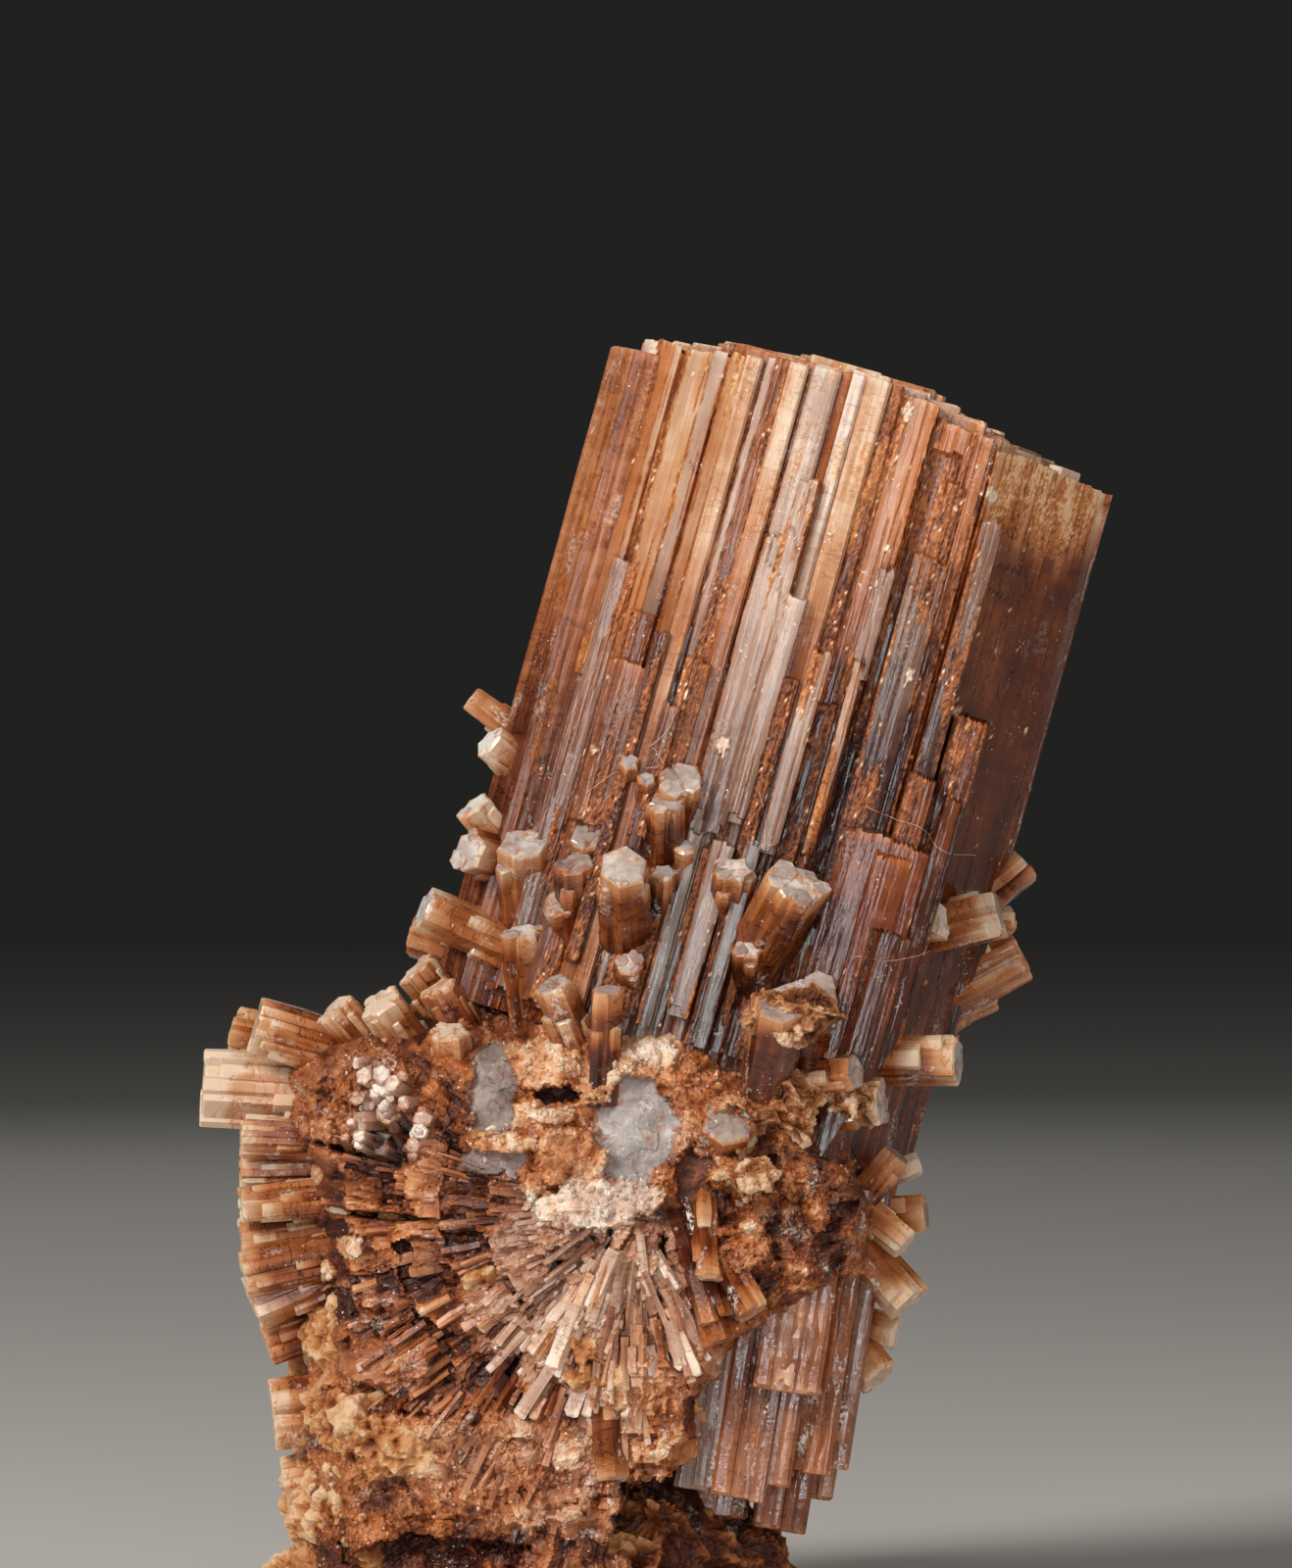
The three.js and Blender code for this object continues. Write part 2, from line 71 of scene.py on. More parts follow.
def lamp(name, place, target, size, watts, colour):
    light = bpy.data.lights.new(name, "AREA")
    light.shape = "RECTANGLE"
    light.size = size[0]
    light.size_y = size[1]
    light.energy = watts
    light.color = colour
    body = stood(name, light)
    body.location = place
    body.rotation_euler = (Vector(target) - body.location).to_track_quat("-Z", "Y").to_euler()


def set_inputs(node, values):
    for name, value in values.items():
        node.inputs[name].default_value = value


def plain_material(name, colour, rough):
    material = bpy.data.materials.new(name)
    material.use_nodes = True
    set_inputs(material.node_tree.nodes["Principled BSDF"], {"Base Color": (*colour, 1), "Roughness": rough})
    return material


camera_data = bpy.data.cameras.new("camera")
camera_data.lens = 200
camera_data.sensor_width = 36
camera_data.clip_start = 0.01
camera = stood("camera", camera_data)
camera.location = Vector((VIEW["x"], -VIEW["distance"], VIEW["z"])) * MM
camera.rotation_euler = (math.radians(90), 0, 0)
bpy.context.scene.camera = camera

lamp("key", (-0.20, -0.24, 0.22), HEART, (0.14, 0.14), 1.28, (1.0, 0.96, 0.90))
lamp("low_front", (-0.022, -0.285, 0.008), (0, 0, 0.018), (0.055, 0.014), 0.06, (0.96, 0.97, 1.0))
lamp("upper_front", (-0.010, -0.29, 0.050), (0.006, 0, 0.034), (0.06, 0.04), 0.07, (0.96, 0.97, 1.0))
lamp("front", (0.06, -0.33, 0.16), HEART, (0.22, 0.10), 0.18, (1.0, 0.96, 0.92))
lamp("edge", (0.20, -0.10, 0.12), HEART, (0.10, 0.14), 0.10, (1.0, 0.86, 0.74))
lamp("behind", (-0.10, 0.34, 0.22), HEART, (0.30, 0.20), 0.10, (1.0, 0.97, 0.94))

world = bpy.data.worlds.new("studio")
world.use_nodes = True
set_inputs(world.node_tree.nodes["Background"], {"Color": (0.70, 0.68, 0.66, 1), "Strength": 0.022})
bpy.context.scene.world = world
bpy.context.scene.view_settings.view_transform = "Standard"

floor_mesh = bpy.data.meshes.new("floor")
floor_corners = [(FLOOR_HALF * x, FLOOR_HALF * y, 0) for x, y in ((-1, -1), (1, -1), (1, 1), (-1, 1))]
floor_mesh.from_pydata(floor_corners, [], [(0, 1, 2, 3)])
floor_mesh.materials.append(plain_material("pale_floor", (0.72, 0.71, 0.69), 0.7))
stood("floor", floor_mesh)

# The main crystal.
# A thick twin of aragonite that leans to the right: dozens of parallel ribs and shorter columns,
# pale lavender and cream in front, the lavender a painted sheen of reflected light, stained orange
# and red in the grooves, with a flat upper end.
TILT = 15.5
MAIN_TOP = (9.33, 0, 40.83)
MAIN_PLAN = [(-8.35, 0), (-4.4, -6.9), (4.6, -6.9), (8.75, 0), (4.5, 7.1), (-4.3, 7.1)]
MAIN_VIEW = {"across": -3.8, "along": -13.85}
INSET = 0.5
RIB_DEPTH = 1.6
LEFT_FOOT = -22.5
RIGHT_FOOT = -33.0
RIGHT_THIRD = 2.2


def spread(seed):
    s = math.sin(seed * 12.9898) * 43758.5453
    return s - math.floor(s)


def between(low, high, seed):
    return low + (high - low) * spread(seed)


def nearer(seen, axis, y):
    return axis + (seen - axis) * (VIEW["distance"] + y) / VIEW["distance"]


def line_at(x, corners):
    return float(np.interp(x, [c[0] for c in corners], [c[1] for c in corners]))


def striated(plan, step, relief, seed):
    """A plan with fine ridges along its sides, about one for each step."""
    made = []
    for i, (x0, y0) in enumerate(plan):
        x1, y1 = plan[(i + 1) % len(plan)]
        length = math.hypot(x1 - x0, y1 - y0)
        count = max(1, round(length / step))
        out = ((y1 - y0) / length, -(x1 - x0) / length) if length else (0, 0)
        made.append((x0, y0))
        for k in range(1, count):
            share = (k + between(-0.3, 0.3, seed + 7 * i + k)) / count
            push = relief * between(-1, 1, seed + 3.7 * i + 1.3 * k)
            made.append((x0 + (x1 - x0) * share + out[0] * push, y0 + (y1 - y0) * share + out[1] * push))
    return made


def rod(plan, foot, top, place, look, seed, rows=6, sway=0.02, rim=0.06, chips=0.2, end=(0.1, 0.1)):
    """One crystal as points, faces and what its material reads.

    look is its tone and coolness near its upper end, its tone further down and how far down that
    is; sway is how far its sides wander, rim the width of its worn upper edge, chips the share of
    that edge that is chipped, and end what its end face adds to tone and coolness. Coolness is
    painted sheen: a lavender-grey that stands for soft light reflected in the faces.
    """
    tone, cool, deep, turn = look
    cool = max(cool, 0)
    plan = np.array(plan)
    middle = plan.mean(axis=0)
    count = len(plan)
    size = np.abs(plan - middle).max()
    rim = min(rim, 0.25 * size)
    points = []
    for row in range(rows + 1):
        share = row / rows
        swell = 1 + sway * between(-1, 1, seed + 0.11 * row) / max(size, 0.3)
        shift = np.array([between(-1, 1, seed + 0.21 * row), between(-1, 1, seed + 0.31 * row)]) * sway * 0.5
        z = foot + (top - rim - foot) * share
        if 0 < row < rows:
            z += between(-0.3, 0.3, seed + 0.41 * row) * (top - foot) / rows
        ring = middle + (plan - middle) * swell + shift
        points.extend((x, y, z) for x, y in ring)
    worn = [spread(seed + 0.07 * (k // 2) + 50) < chips for k in range(count)]
    for k, (x, y) in enumerate(middle + (plan - middle) * (1 - rim / size)):
        drop = between(0.3, 1.6, seed + k) * rim if worn[k] else 0
        points.append((x, y, top - drop))
        if worn[k]:
            edge = rows * count + k
            ex, ey, ez = points[edge]
            points[edge] = (ex, ey, ez - drop)
    points.extend((x, y, top) for x, y in middle + (plan - middle) * (1 - 2.6 * rim / size))
    points.append((middle[0], middle[1], top))
    faces = [tuple(reversed(range(count)))]
    for row in range(rows + 2):
        for k in range(count):
            n = (k + 1) % count
            faces.append((row * count + k, row * count + n, (row + 1) * count + n, (row + 1) * count + k))
    last = (rows + 2) * count
    ends = len(faces)
    faces.extend((last + k, last + (k + 1) % count, last + count) for k in range(count))
    axis = (place.to_3x3() @ Vector((0, 0, 1))).normalized()
    tip = (place @ Vector((middle[0], middle[1], top))).dot(axis)
    read = {"tone": np.full(len(faces), float(tone)), "cool": np.full(len(faces), float(cool))}
    read["tone"][ends - count:] += end[0]
    read["cool"][ends - count:] += end[1]
    for name, value in (("deep", deep), ("turn", turn), ("tip", tip), ("seed", spread(seed + 0.9))):
        read[name] = np.full(len(faces), float(value))
    return [tuple(place @ Vector(p) * MM) for p in points], faces, read, axis


def loose(name, crystal):
    """A crystal as a mesh object whose faces carry what the material reads."""
    points, faces, read, axis = crystal
    mesh = bpy.data.meshes.new(name)
    mesh.from_pydata(points, [], faces)
    for attribute, values in read.items():
        mesh.attributes.new(attribute, "FLOAT", "FACE").data.foreach_set("value", values)
    mesh.attributes.new("axis", "FLOAT_VECTOR", "FACE").data.foreach_set("vector", np.tile(axis, len(faces)))
    return bpy.data.objects.new(name, mesh)


def evaluated(body):
    return bpy.data.meshes.new_from_object(body.evaluated_get(bpy.context.evaluated_depsgraph_get()))


def of_the_cluster(body):
    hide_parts("aragonite_cluster")
    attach(body, "root")
    return body


def grown_together(name, crystals, material):
    """One closed mesh from crystals that overlap."""
    body = loose(name, crystals[0])
    bpy.context.scene.collection.objects.link(body)
    others = bpy.data.collections.new(name + "_others")
    for i, crystal in enumerate(crystals[1:]):
        others.objects.link(loose(f"{name}_{i}", crystal))
    join = body.modifiers.new("join", "BOOLEAN")
    join.operation = "UNION"
    join.operand_type = "COLLECTION"
    join.collection = others
    join.solver = "MANIFOLD"
    joined = evaluated(body)
    body.modifiers.remove(join)
    for other in list(others.objects):
        bpy.data.meshes.remove(other.data)
    bpy.data.collections.remove(others)
    body.data = joined
    joined.name = name
    joined.materials.clear()
    joined.materials.append(material)
    joined.shade_flat()
    of_the_cluster(body)


def link(tree, source, target):
    tree.links.new(source, target)


def add(tree, kind, **values):
    node = tree.nodes.new(kind)
    for name, value in values.items():
        setattr(node, name, value)
    return node


def feed(tree, value, socket):
    """Sets a socket to a value, or links it to another one."""
    if isinstance(value, (int, float, tuple)):
        socket.default_value = value
    elif value is not None:
        link(tree, value, socket)


def maths(tree, operation, a, b=None):
    node = add(tree, "ShaderNodeMath", operation=operation)
    feed(tree, a, node.inputs[0])
    feed(tree, b, node.inputs[1])
    return node.outputs[0]


def vectors(tree, operation, a, b=None, scale=None):
    node = add(tree, "ShaderNodeVectorMath", operation=operation)
    feed(tree, a, node.inputs[0])
    feed(tree, b, node.inputs[1])
    if scale is not None:
        feed(tree, scale, node.inputs["Scale"])
    return node.outputs["Value"] if operation == "DOT_PRODUCT" else node.outputs["Vector"]


def noise_of(tree, place, scale, detail, rough=0.55):
    node = add(tree, "ShaderNodeTexNoise")
    set_inputs(node, {"Scale": scale, "Detail": detail, "Roughness": rough})
    link(tree, place, node.inputs["Vector"])
    return node.outputs["Fac"]


def ramp_of(tree, value, stops):
    node = add(tree, "ShaderNodeValToRGB")
    elements = node.color_ramp.elements
    for i, (share, colour) in enumerate(stops):
        stop = elements[0] if i == 0 else elements[-1] if i == len(stops) - 1 else elements.new(share)
        stop.position = share
        stop.color = (*colour, 1)
    link(tree, value, node.inputs["Fac"])
    return node.outputs["Color"]


def between_of(tree, value, low, high, start=0.0, stop=1.0):
    node = add(tree, "ShaderNodeMapRange", interpolation_type="SMOOTHSTEP")
    link(tree, value, node.inputs["Value"])
    set_inputs(node, {"From Min": low, "From Max": high, "To Min": start, "To Max": stop})
    return node.outputs["Result"]


def relief_of(tree, height, depth):
    """Turns a height into the material's normal."""
    bump = add(tree, "ShaderNodeBump")
    set_inputs(bump, {"Strength": 0.7, "Distance": depth * MM})
    link(tree, height, bump.inputs["Height"])
    link(tree, bump.outputs["Normal"], tree.nodes["Principled BSDF"].inputs["Normal"])


def crystal_grain():
    """Colour, roughness and relief of one crystal, in streaks along its own axis."""
    tree = bpy.data.node_groups.new("crystal_grain", "ShaderNodeTree")
    for name in ("Tone", "Cool", "Deep", "Turn", "Tip", "Seed", "Axis", "Stain", "Streaks per mm", "Contrast",
                 "Roughness", "Rust", "Frost"):
        kind = "NodeSocketVector" if name == "Axis" else "NodeSocketFloat"
        tree.interface.new_socket(name, in_out="INPUT", socket_type=kind)
    for name in ("Color", "Roughness", "Height"):
        kind = "NodeSocketColor" if name == "Color" else "NodeSocketFloat"
        tree.interface.new_socket(name, in_out="OUTPUT", socket_type=kind)
    given = add(tree, "NodeGroupInput").outputs
    result = add(tree, "NodeGroupOutput").inputs
    place = vectors(tree, "SCALE", add(tree, "ShaderNodeTexCoord").outputs["Object"], scale=1000)
    along = vectors(tree, "DOT_PRODUCT", place, given["Axis"])
    flat = vectors(tree, "SUBTRACT", place, vectors(tree, "SCALE", given["Axis"], scale=along))
    own = vectors(tree, "SCALE", (17.3, 31.7, 7.9), scale=given["Seed"])

    def times(a, b):
        return maths(tree, "MULTIPLY", a, b)

    def less(a, b):
        return maths(tree, "SUBTRACT", a, b)

    def total(*parts):
        whole = parts[0]
        for part in parts[1:]:
            whole = maths(tree, "ADD", whole, part)
        return whole

    def about(value, share):
        return times(less(value, 0.5), share)

    def streaks(across, lengthways, detail):
        wide = vectors(tree, "SCALE", flat, scale=across)
        slow = vectors(tree, "SCALE", given["Axis"], scale=times(along, lengthways))
        return noise_of(tree, vectors(tree, "ADD", vectors(tree, "ADD", wide, slow), own), 1.0, detail)

    def mixed(share, a, b):
        mix = add(tree, "ShaderNodeMix", data_type="RGBA")
        for name, value in (("Factor", share), ("A", a), ("B", b)):
            feed(tree, value, mix.inputs[name])
        return mix.outputs["Result"]

    broad = streaks(times(given["Streaks per mm"], 0.45), 0.12, 3)
    fine = streaks(times(given["Streaks per mm"], 1.7), 0.3, 2)
    bands = streaks(0.6, 1.7, 3)
    cloud = noise_of(tree, place, 0.4, 3)
    grains = noise_of(tree, place, 7.0, 2, 0.7)
    below = less(given["Tip"], along)
    sunk = between_of(tree, maths(tree, "DIVIDE", below, given["Turn"]), 0.4, 1.3)
    level = total(given["Tone"], times(sunk, less(given["Deep"], given["Tone"])))
    wander = total(about(broad, 1.6), about(fine, 1.1), about(bands, 0.7), about(cloud, 0.7))
    level = total(level, times(wander, given["Contrast"]))
    cracks = between_of(tree, maths(tree, "ABSOLUTE", less(bands, 0.5)), 0.004, 0.016, -0.8, 0.0)
    level = total(level, times(cracks, maths(tree, "POWER", given["Contrast"], 2.0)))
    level = total(level, between_of(tree, below, 0.02, 0.45, 0.14, 0.0))
    # Painted glints: tiny pale specks that stand for highlights. They are mixed in with the real white frost
    # below.
    painted_glints = times(between_of(tree, noise_of(tree, place, 8.0, 2), 0.66, 0.70),
                    between_of(tree, noise_of(tree, place, 0.9, 3), 0.52, 0.66))
    frost = times(between_of(tree, streaks(1.0, 0.55, 6), 0.57, 0.66), between_of(tree, grains, 0.44, 0.58))
    frost = times(frost, given["Frost"])
    rust = times(between_of(tree, streaks(1.1, 0.35, 4), 0.56, 0.66), given["Rust"])
    rust = maths(tree, "MAXIMUM", rust, given["Stain"])
    level = total(level, times(rust, about(grains, 1.3)))
    warm = ramp_of(tree, level, (
        (0.0, (0.030, 0.005, 0.002)), (0.2, (0.125, 0.023, 0.006)), (0.4, (0.32, 0.088, 0.020)),
        (0.6, (0.50, 0.187, 0.068)), (0.8, (0.65, 0.345, 0.17)), (1.0, (0.80, 0.60, 0.43))))
    # The grey ramp, mixed in by Cool, paints a lavender-grey sheen over the warm colour: the soft light
    # reflected in the faces.
    grey = ramp_of(tree, level, (
        (0.0, (0.05, 0.018, 0.014)), (0.5, (0.33, 0.19, 0.135)), (0.8, (0.56, 0.39, 0.31)),
        (1.0, (0.84, 0.72, 0.62))))
    stain = ramp_of(tree, level, (
        (0.0, (0.06, 0.009, 0.003)), (0.45, (0.38, 0.115, 0.028)), (0.8, (0.64, 0.27, 0.095)),
        (1.0, (0.85, 0.55, 0.32))))
    coolness = maths(tree, "MINIMUM", times(given["Cool"], total(0.5, broad)), 1.0)
    faded = add(tree, "ShaderNodeHueSaturation")
    link(tree, between_of(tree, given["Cool"], 1.0, 2.0, 1.0, 0.25), faded.inputs["Saturation"])
    link(tree, mixed(coolness, warm, grey), faded.inputs["Color"])
    stained = mixed(rust, faded.outputs["Color"], stain)
    glints_and_frost = mixed(maths(tree, "MAXIMUM", painted_glints, frost), stained, (0.88, 0.80, 0.72, 1))
    link(tree, glints_and_frost, result["Color"])
    link(tree, total(given["Roughness"], about(bands, 0.4), times(rust, 0.3)), result["Roughness"])
    granular = times(total(0.25, rust, times(frost, 1.6)), times(grains, 0.9))
    link(tree, total(broad, times(fine, 0.7), granular), result["Height"])
    return tree


GRAIN = crystal_grain()


def translucent(name, through, depth, colours):
    """A new material that light soaks into: how much of it, how far in mm, and how far each colour."""
    material = bpy.data.materials.new(name)
    material.use_nodes = True
    tree = material.node_tree
    skin = tree.nodes["Principled BSDF"]
    set_inputs(skin, {"IOR": 1.6, "Subsurface Weight": through, "Subsurface Radius": colours,
                      "Subsurface Scale": depth * MM})
    return material, tree, skin


def crystal_material(name, streaks, contrast, rough, rust, through=0.35, clear=0.0, relief=0.05,
                     shine=0.32, depth=0.25, frost=0.3):
    """Translucent aragonite, of which clear is the share of the light that passes straight."""
    material, tree, skin = translucent(name, through, depth, (1.0, 0.36, 0.12))
    grain = add(tree, "ShaderNodeGroup", node_tree=GRAIN)
    for attribute in ("tone", "cool", "deep", "turn", "tip", "seed", "axis", "stain"):
        read = add(tree, "ShaderNodeAttribute", attribute_name=attribute)
        output = read.outputs["Vector" if attribute == "axis" else "Fac"]
        link(tree, output, grain.inputs[attribute.capitalize()])
    set_inputs(grain, {"Streaks per mm": streaks, "Contrast": contrast, "Roughness": rough, "Rust": rust,
                       "Frost": frost})
    link(tree, grain.outputs["Color"], skin.inputs["Base Color"])
    link(tree, grain.outputs["Roughness"], skin.inputs["Roughness"])
    relief_of(tree, grain.outputs["Height"], relief)
    set_inputs(skin, {"Specular IOR Level": shine, "Transmission Weight": clear})
    return material


def hashed(a, b, seed):
    s = np.sin(a * 127.1 + b * 311.7 + seed * 74.7) * 43758.5453
    return s - np.floor(s)


def soft_noise(x, z, seed, octaves=1):
    whole = 0
    size = 1
    for k in range(octaves):
        a, b = np.floor(x), np.floor(z)
        u, v = x - a, z - b
        u, v = u * u * (3 - 2 * u), v * v * (3 - 2 * v)
        low = hashed(a, b, seed + k) * (1 - u) + hashed(a + 1, b, seed + k) * u
        high = hashed(a, b + 1, seed + k) * (1 - u) + hashed(a + 1, b + 1, seed + k) * u
        whole = whole + (low * (1 - v) + high * v - 0.5) * size
        size *= 0.55
        x, z = x * 2.03 + 5.1, z * 2.03 + 1.7
    return whole


def facets(x, z, size, seed):
    """The height of the tilted facet of the grain that each spot is in."""
    x, z = x / size, z / size
    nearest = np.full(x.shape, 9.0)
    height = np.zeros(x.shape)
    for i in (-1, 0, 1):
        for k in (-1, 0, 1):
            a, b = np.floor(x) + i, np.floor(z) + k
            dx = x - a - 0.15 - 0.7 * hashed(a, b, seed)
            dz = z - b - 0.15 - 0.7 * hashed(a, b, seed + 1)
            far = dx * dx + dz * dz
            tilt = dx * (hashed(a, b, seed + 3) - 0.5) + dz * (hashed(a, b, seed + 4) - 0.5)
            height = np.where(far < nearest, hashed(a, b, seed + 2) - 0.5 + 1.3 * tilt, height)
            nearest = np.minimum(far, nearest)
    return height


def fibres(reach, turn, width, length, seed):
    """The height of broken bars that lie side by side and point away from the centre."""
    ring = np.floor(reach / 1.6)
    lane = np.floor(turn / (2 * math.pi) * np.round(2 * math.pi * (ring + 0.5) * 1.6 / width))
    at = reach / length + hashed(lane, ring, seed)
    return hashed(lane + 57 * ring, np.floor(at), seed + 1) - 0.5 + 0.7 * (at - np.floor(at) - 0.5)


def from_lines(x, z, lines):
    nearest = np.full(x.shape, 99.0)
    for line in lines:
        for (x0, z0), (x1, z1) in zip(line, line[1:]):
            share = ((x - x0) * (x1 - x0) + (z - z0) * (z1 - z0)) / ((x1 - x0) ** 2 + (z1 - z0) ** 2)
            share = np.clip(share, 0, 1)
            nearest = np.minimum(nearest, np.hypot(x - x0 - share * (x1 - x0), z - z0 - share * (z1 - z0)))
    return nearest


MAIN_FRAME = Matrix.Translation(MAIN_TOP) @ Matrix.Rotation(math.radians(TILT), 4, "Y")

# Ribs of the front, from left to right: left edge, right edge, how far each stands proud, its upper
# end, and its look: tone from dark red to pale, coolness from orange to lavender (painted sheen of
# reflected light), tone further down, and how far down that is. The dark tones low on the ribs at
# the right are partly painted shade of the side turned away from the key lamp.
RIBS = [
    (-8.35, -8.03, 0.1, -0.7, (0.74, 0.45, 0.42, 12)), (-8.06, -7.88, -0.02, 0.35, (0.3, 0.0, 0.2, 12)),
    (-7.9, -7.36, 0.15, 0.75, (0.74, 0.95, 0.36, 11)), (-7.38, -6.76, 0.05, 0.84, (0.56, 0.1, 0.4, 10)),
    (-6.78, -6.54, 0.12, 0.8, (0.8, 0.6, 0.46, 12)), (-6.58, -6.26, -0.15, 0.6, (0.26, 0.0, 0.2, 12)),
    (-6.28, -5.48, 0.3, 0.87, (0.84, 0.15, 0.44, 11)), (-5.52, -4.98, 0.12, 1.0, (0.78, 1.0, 0.36, 10)),
    (-5.02, -4.84, -0.15, 0.85, (0.22, 0.0, 0.16, 12)), (-4.88, -4.34, 0.14, 1.1, (0.74, 0.25, 0.48, 9)),
    (-4.38, -3.8, 0.32, 1.22, (0.86, 0.25, 0.52, 11)), (-3.84, -3.66, -0.15, 1.0, (0.2, 0.0, 0.15, 12)),
    (-3.68, -3.38, 0.12, 1.28, (0.76, 1.0, 0.4, 10)), (-3.4, -2.83, 0.05, 1.3, (0.38, 0.0, 0.35, 10)),
    (-2.88, -2.23, 0.3, 1.37, (0.84, 0.25, 0.41, 9)), (-2.26, -2.04, -0.2, 1.2, (0.22, 0.0, 0.16, 12)),
    (-2.07, -1.1, 0.38, 1.5, (0.78, 1.1, 0.41, 12)), (-1.13, -0.68, 0.2, 1.52, (0.44, 0.0, 0.36, 12)),
    (-0.72, -0.25, 0.34, 1.62, (0.9, 1.0, 0.38, 11)), (-0.28, 0.62, 0.26, 1.66, (0.82, 0.2, 0.24, 11)),
    (0.59, 1.13, 0.05, 1.5, (0.36, 0.0, 0.18, 8)), (1.1, 2.45, -0.45, 1.22, (0.62, 0.2, 0.24, 9)),
    (2.4, 2.82, -1.2, 0.85, (0.22, 0.0, 0.12, 8)), (2.77, 3.27, -0.95, 0.7, (0.54, 0.1, 0.18, 8)),
    (3.23, 3.92, -0.75, 0.66, (0.5, 0.1, 0.16, 8)), (3.86, 4.56, -0.9, 0.6, (0.54, 0.1, 0.16, 7)),
    (4.5, 4.78, -0.95, 0.4, (0.2, 0.0, 0.1, 8)), (4.7, 5.46, -0.25, 0.3, (0.84, -1.0, 0.27, 4)),
    (5.4, 5.98, 0.05, 0.3, (0.92, -1.0, 0.27, 3)), (5.95, 6.53, -0.1, 0.22, (0.86, -1.0, 0.25, 3)),
    (6.48, 6.9, 0.1, 0.16, (0.96, -1.0, 0.27, 2.8)), (6.86, 7.24, -0.15, 0.08, (0.84, -1.0, 0.25, 3.2)),
    (7.16, 7.62, 0.12, 0.04, (0.94, -1.0, 0.23, 2.4)), (7.58, 8.21, -0.1, -0.02, (0.86, -1.0, 0.23, 3.0)),
    (8.14, 8.52, 0.15, -0.08, (0.94, -1.0, 0.23, 2.4)), (8.48, 8.9, 0.05, -0.14, (0.9, 0.5, 0.22, 2.2)),
]

# Shorter columns in front of the ribs: left edge, right edge, front, upper end, foot and look.
# The coolest ones, low in the middle, paint the blue-grey strips of light reflected in their faces.
STEPS = [
    (-8.95, -8.1, -0.9, -10.0, -14.0, (0.67, 0.1, 0.39, 4)),
    (-7.8, -7.4, -1.9, -1.7, -22, (0.55, 0.3, 0.39, 8)),
    (-6.97, -6.0, -3.9, -6.7, -22, (0.48, 0.8, 0.34, 9)),
    (-5.9, -4.98, -6.0, -8.2, -22, (0.31, 0.1, 0.34, 6)),
    (-6.0, -4.77, -6.6, -10.1, -16, (0.4, 0.25, 0.34, 6)),
    (-4.87, -4.4, -7.3, -8.6, -20, (0.21, 0.0, 0.14, 6)),
    (-3.68, -2.69, -7.4, -9.4, -13.5, (0.37, 0.0, 0.3, 4)),
    (-3.97, -3.31, -7.7, -11.1, -16, (0.35, 0.2, 0.24, 4)),
    (-2.15, -1.5, -7.4, -4.6, -14.5, (0.72, 1.05, 0.36, 8)),
    (-1.55, -0.85, -7.45, -2.4, -14.8, (0.76, 1.05, 0.38, 9)),
    (-0.9, -0.2, -7.5, -6.4, -14.3, (0.74, 1.2, 0.35, 7)),
    (-2.9, -2.06, -7.3, -15.5, -22, (0.3, 0.4, 0.21, 4)),
    (-2.0, -1.46, -7.6, -15.0, -22, (0.52, 1.5, 0.32, 5)),
    (-1.39, -1.13, -7.5, -15.4, -22, (0.34, 1.6, 0.16, 4)),
    (-1.1, -0.28, -7.7, -15.0, -21, (0.54, 1.5, 0.34, 5)),
    (-0.22, 0.3, -7.45, -9.0, -22, (0.31, 0.1, 0.19, 5)),
    (0.0, 0.56, -7.7, -14.6, -21.5, (0.46, 1.8, 0.24, 4)),
    (0.42, 1.14, -7.7, -7.9, -15.0, (0.7, 1.2, 0.42, 5)),
    (1.86, 2.53, -7.2, -4.6, -8.6, (0.54, 1.2, 0.4, 4)),
    (1.92, 2.34, -7.1, -8.0, -15.0, (0.68, 0.6, 0.52, 5)),
    (1.1, 1.8, -7.2, -9.5, -15.5, (0.17, 0.0, 0.12, 5)), (2.5, 3.62, -6.3, -0.3, -16, (0.3, 0.0, 0.12, 5)),
    (3.34, 4.08, -6.6, -1.2, -17, (0.32, 0.3, 0.12, 5)), (2.94, 4.17, -7.0, -3.9, -17, (0.3, 1.2, 0.08, 6)),
    (4.84, 5.6, -6.9, -2.1, -20, (0.33, 1.1, 0.1, 6)), (5.69, 6.92, -6.6, -8.7, -20, (0.28, 0.1, 0.12, 4)),
    (4.75, 5.71, -7.6, -11.1, -16, (0.34, 0.0, 0.22, 4)),
    (6.13, 6.74, -6.9, -11.4, -22, (0.32, -1, 0.2, 5)), (3.14, 6.14, -8.2, -13.5, -21, (0.32, -1, 0.2, 4)),
    (4.37, 5.65, -8.35, -14.1, -21, (0.37, -1, 0.24, 4)), (4.95, 6.3, -7.2, -16.5, -25, (0.3, -1, 0.18, 5)),
    (-8.2, -6.9, -1.6, -11.0, -22, (0.48, 0.9, 0.34, 6)),
]
SLABS = [(-7.9, -5.2, 0.60, LEFT_FOOT, INSET), (-5.25, 0.95, 1.15, LEFT_FOOT, INSET),
         (0.9, 4.65, 0.50, LEFT_FOOT - 1, 3 * INSET), (4.6, 8.3, -0.15, LEFT_FOOT - 2, INSET)]
FRONT_CORNERS = MAIN_PLAN[:4]
RIB_FEET = [(-9, LEFT_FOOT), (2.1, LEFT_FOOT), (2.3, -27), (5.0, -26), (6.6, -21), (8.2, -18)]
BACK_CORNERS = [MAIN_PLAN[0], MAIN_PLAN[5], MAIN_PLAN[4], MAIN_PLAN[3]]
TOP_EDGE = [(-9, 0.2), (-6, 0.8), (0.3, 1.4), (3, 0.6), (9, -0.2)]
CHAMFER = {"front": 0.05, "side": 0.6, "depth": 0.14}


